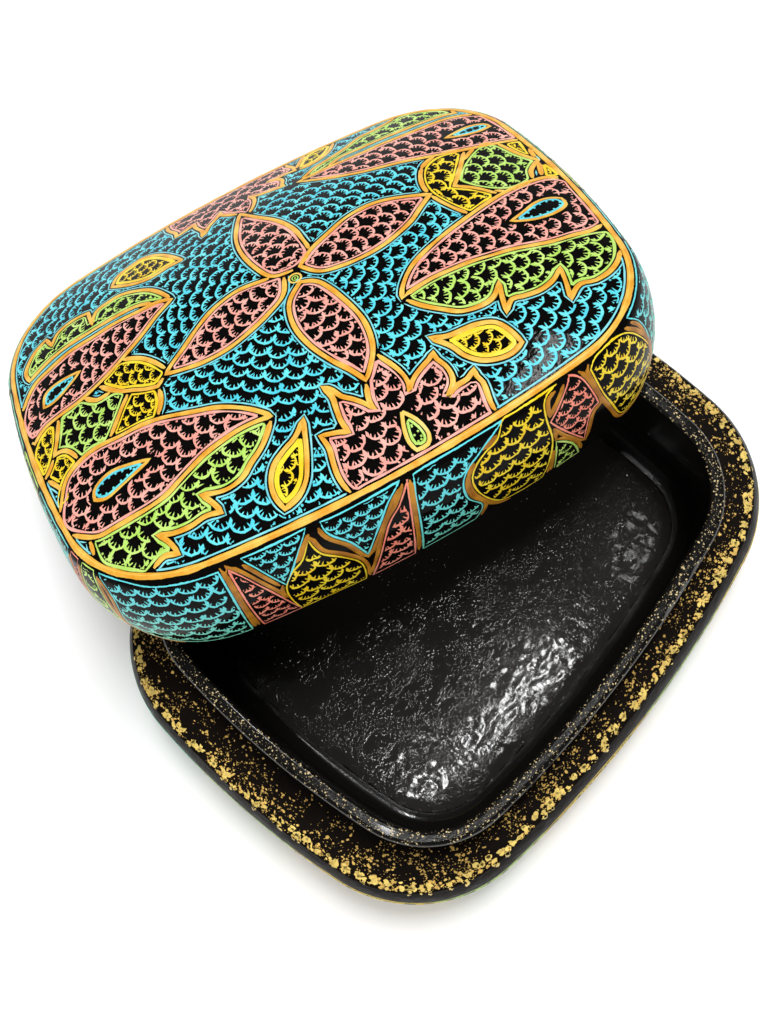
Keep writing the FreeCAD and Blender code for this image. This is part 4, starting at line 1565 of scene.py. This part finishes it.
class BOX_OT_stage(bpy.types.Operator):
    """Set up the white floor, the soft lights and the photograph's camera"""

    bl_idname = "box.stage"
    bl_label = "Set Up the Stage"

    # The broad main light, from above the top of the picture.
    KEY_ANGLE = math.radians(30)
    KEY_DIRECTION = Vector((-0.36, -0.16, -0.92))
    # Rows of small lamps whose reflections lie along the tray's front edge: name, place in plan, width of
    # the row and share of the power; and their height, space and size, all in metres.
    STRIPS = (("strip_left", -0.062, 0.021, 0.075, 0.1), ("strip_middle", 0.065, 0.005, 0.13, 0.175),
              ("strip_right", 0.23, 0.005, 0.035, 0.01))
    STRIP_HEIGHT = 0.75
    STRIP_GAP = 0.022
    STRIP_LAMP = 0.012
    # The fill light, unseen in gloss, and the glint on the lid's shoulder, seen in gloss alone: place,
    # target, width, length and share of the power.
    FILL = (Vector((-0.55, -0.35, 0.55)), Vector((0.0, 0.0, 0.03)), 0.6, 0.6, 1.6)
    GLINT = (Vector((0.33, 0.155, 0.57)), Vector((0.038, 0.002, 0.067)), 0.02, 0.16, 0.5)
    # The floor lies this far below the box, and shines this much to the camera and in gloss.
    FLOOR_DROP = 0.0003
    FLOOR_GLOW = 0.2
    # The surround as the object sees it, near the horizon and above: how high a direction is, and how
    # bright.
    HORIZON = (0.02, 0.8)
    SKY = (0.22, 0.07)

    def execute(self, context):
        settings = context.scene.box_stage
        self.floor(settings)
        self.world()
        self.lamps(settings)
        self.camera()
        context.scene.view_settings.view_transform = "Standard"
        return {"FINISHED"}

    def floor(self, settings):
        """A pale floor, white to the camera, that keeps the object's shadow."""
        shape = bmesh.new()
        bmesh.ops.create_grid(shape, x_segments=1, y_segments=1, size=settings.floor_size / 2)
        mesh = mesh_of(shape, "floor")
        floor = bpy.data.objects.new("floor", mesh)
        floor.location.z = -self.FLOOR_DROP
        bpy.context.scene.collection.objects.link(floor)
        material, tree, shader = new_material("floor_white")
        set_inputs(shader, {"Base Color": (*settings.white, 1.0), "Roughness": 0.9,
                            "Specular IOR Level": 0.0, "Emission Color": (1.0, 1.0, 1.0, 1.0)})
        rays = add_node(tree, "LightPath")
        either = add_node(tree, "Math", operation="MAXIMUM")
        lift = add_node(tree, "Math", {1: self.FLOOR_GLOW}, operation="MULTIPLY")
        join(tree, (rays, "Is Camera Ray", either, 0), (rays, "Is Glossy Ray", either, 1),
             (either, "Value", lift, 0), (lift, "Value", shader, "Emission Strength"))
        mesh.materials.append(material)

    def world(self):
        """A pale surrounding, white to the camera."""
        world = bpy.data.worlds.new("surround")
        world.use_nodes = True
        tree = world.node_tree
        back = tree.nodes["Background"]
        set_inputs(back, {"Color": (1.0, 1.0, 1.0, 1.0)})
        place = add_node(tree, "TexCoord")
        split = add_node(tree, "SeparateXYZ")
        fade = add_node(tree, "MapRange", {"From Min": self.HORIZON[0], "From Max": self.SKY[0],
                                           "To Min": self.HORIZON[1], "To Max": self.SKY[1]})
        rays = add_node(tree, "LightPath")
        level = add_node(tree, "Math", operation="MAXIMUM")
        join(tree, (place, "Generated", split, "Vector"), (split, "Z", fade, "Value"),
             (fade, "Result", level, 0), (rays, "Is Camera Ray", level, 1),
             (level, "Value", back, "Strength"))
        bpy.context.scene.world = world

    def lamps(self, settings):
        """The main light, the rows of small lamps, the fill and the glint."""
        key = bpy.data.lights.new("key", "SUN")
        key.angle = self.KEY_ANGLE
        key.energy = settings.key_strength
        aimed("key", key, Vector(), self.KEY_DIRECTION, glossy=False)
        for name, along, across, width, share in self.STRIPS:
            count = round(width / self.STRIP_GAP)
            for number in range(count):
                shift = width * ((number + 0.5) / count - 0.5)
                foot = Vector((along + shift, across, 0.0))
                softbox(f"{name}_{number}", foot + Vector((0, 0, self.STRIP_HEIGHT)), foot,
                        self.STRIP_LAMP, self.STRIP_LAMP, settings.box_power * share / count)
        place, target, width, length, share = self.FILL
        softbox("fill", place, target, width, length, settings.box_power * share, glossy=False)
        place, target, width, length, share = self.GLINT
        glint = softbox("glint", place, target, width, length, settings.box_power * share)
        glint.visible_diffuse = False

    def camera(self):
        """The photograph's camera."""
        lens = bpy.data.cameras.new("photo_camera")
        lens.sensor_fit = "VERTICAL"
        lens.sensor_height = SENSOR_HEIGHT
        lens.lens = PHOTO_FOCAL * SENSOR_HEIGHT / PHOTO_HEIGHT
        lens.clip_start = 0.01
        holder = bpy.data.objects.new("photo_camera", lens)
        turn = Matrix((PICTURE_RIGHT, -PICTURE_DOWN, -PICTURE_DEPTH)).transposed().to_4x4()
        holder.matrix_world = Matrix.Translation(CAMERA_PLACE * MM) @ turn
        bpy.context.scene.collection.objects.link(holder)
        bpy.context.scene.camera = holder


class BOX_PT_panel(bpy.types.Panel):
    """Sizes and steps of the painted box"""

    bl_idname = "BOX_PT_panel"
    bl_label = "Painted Box"
    bl_space_type = "VIEW_3D"
    bl_region_type = "UI"
    bl_category = "Painted Box"

    def draw(self, context):
        for owner in (context.scene.box_lacquer, context.scene.box_paint, context.scene.box_flakes,
                      context.scene.box_stage):
            column = self.layout.column(align=True)
            for name in owner.bl_rna.properties.keys():
                if name not in ("rna_type", "name"):
                    column.prop(owner, name)
        for operator in OPERATORS:
            self.layout.operator(operator.bl_idname)


SETTINGS = {
    "box_lacquer": LacquerSettings,
    "box_paint": PaintSettings,
    "box_flakes": FlakeSettings,
    "box_stage": StageSettings,
}
OPERATORS = (BOX_OT_lacquer, BOX_OT_floor, BOX_OT_lid_paint, BOX_OT_base_paint, BOX_OT_flakes, BOX_OT_stage)


def register():
    for name, group in SETTINGS.items():
        bpy.utils.register_class(group)
        setattr(bpy.types.Scene, name, PointerProperty(type=group))
    for operator in OPERATORS:
        bpy.utils.register_class(operator)
    bpy.utils.register_class(BOX_PT_panel)


def unregister():
    bpy.utils.unregister_class(BOX_PT_panel)
    for operator in reversed(OPERATORS):
        bpy.utils.unregister_class(operator)
    for name, group in SETTINGS.items():
        delattr(bpy.types.Scene, name)
        bpy.utils.unregister_class(group)


def main():
    """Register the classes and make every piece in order."""
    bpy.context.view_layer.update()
    register()
    bpy.ops.box.lacquer()
    bpy.ops.box.floor()
    bpy.ops.box.lid_paint()
    bpy.ops.box.base_paint()
    bpy.ops.box.flakes()
    bpy.ops.box.stage()


if __name__ == "__main__":
    main()
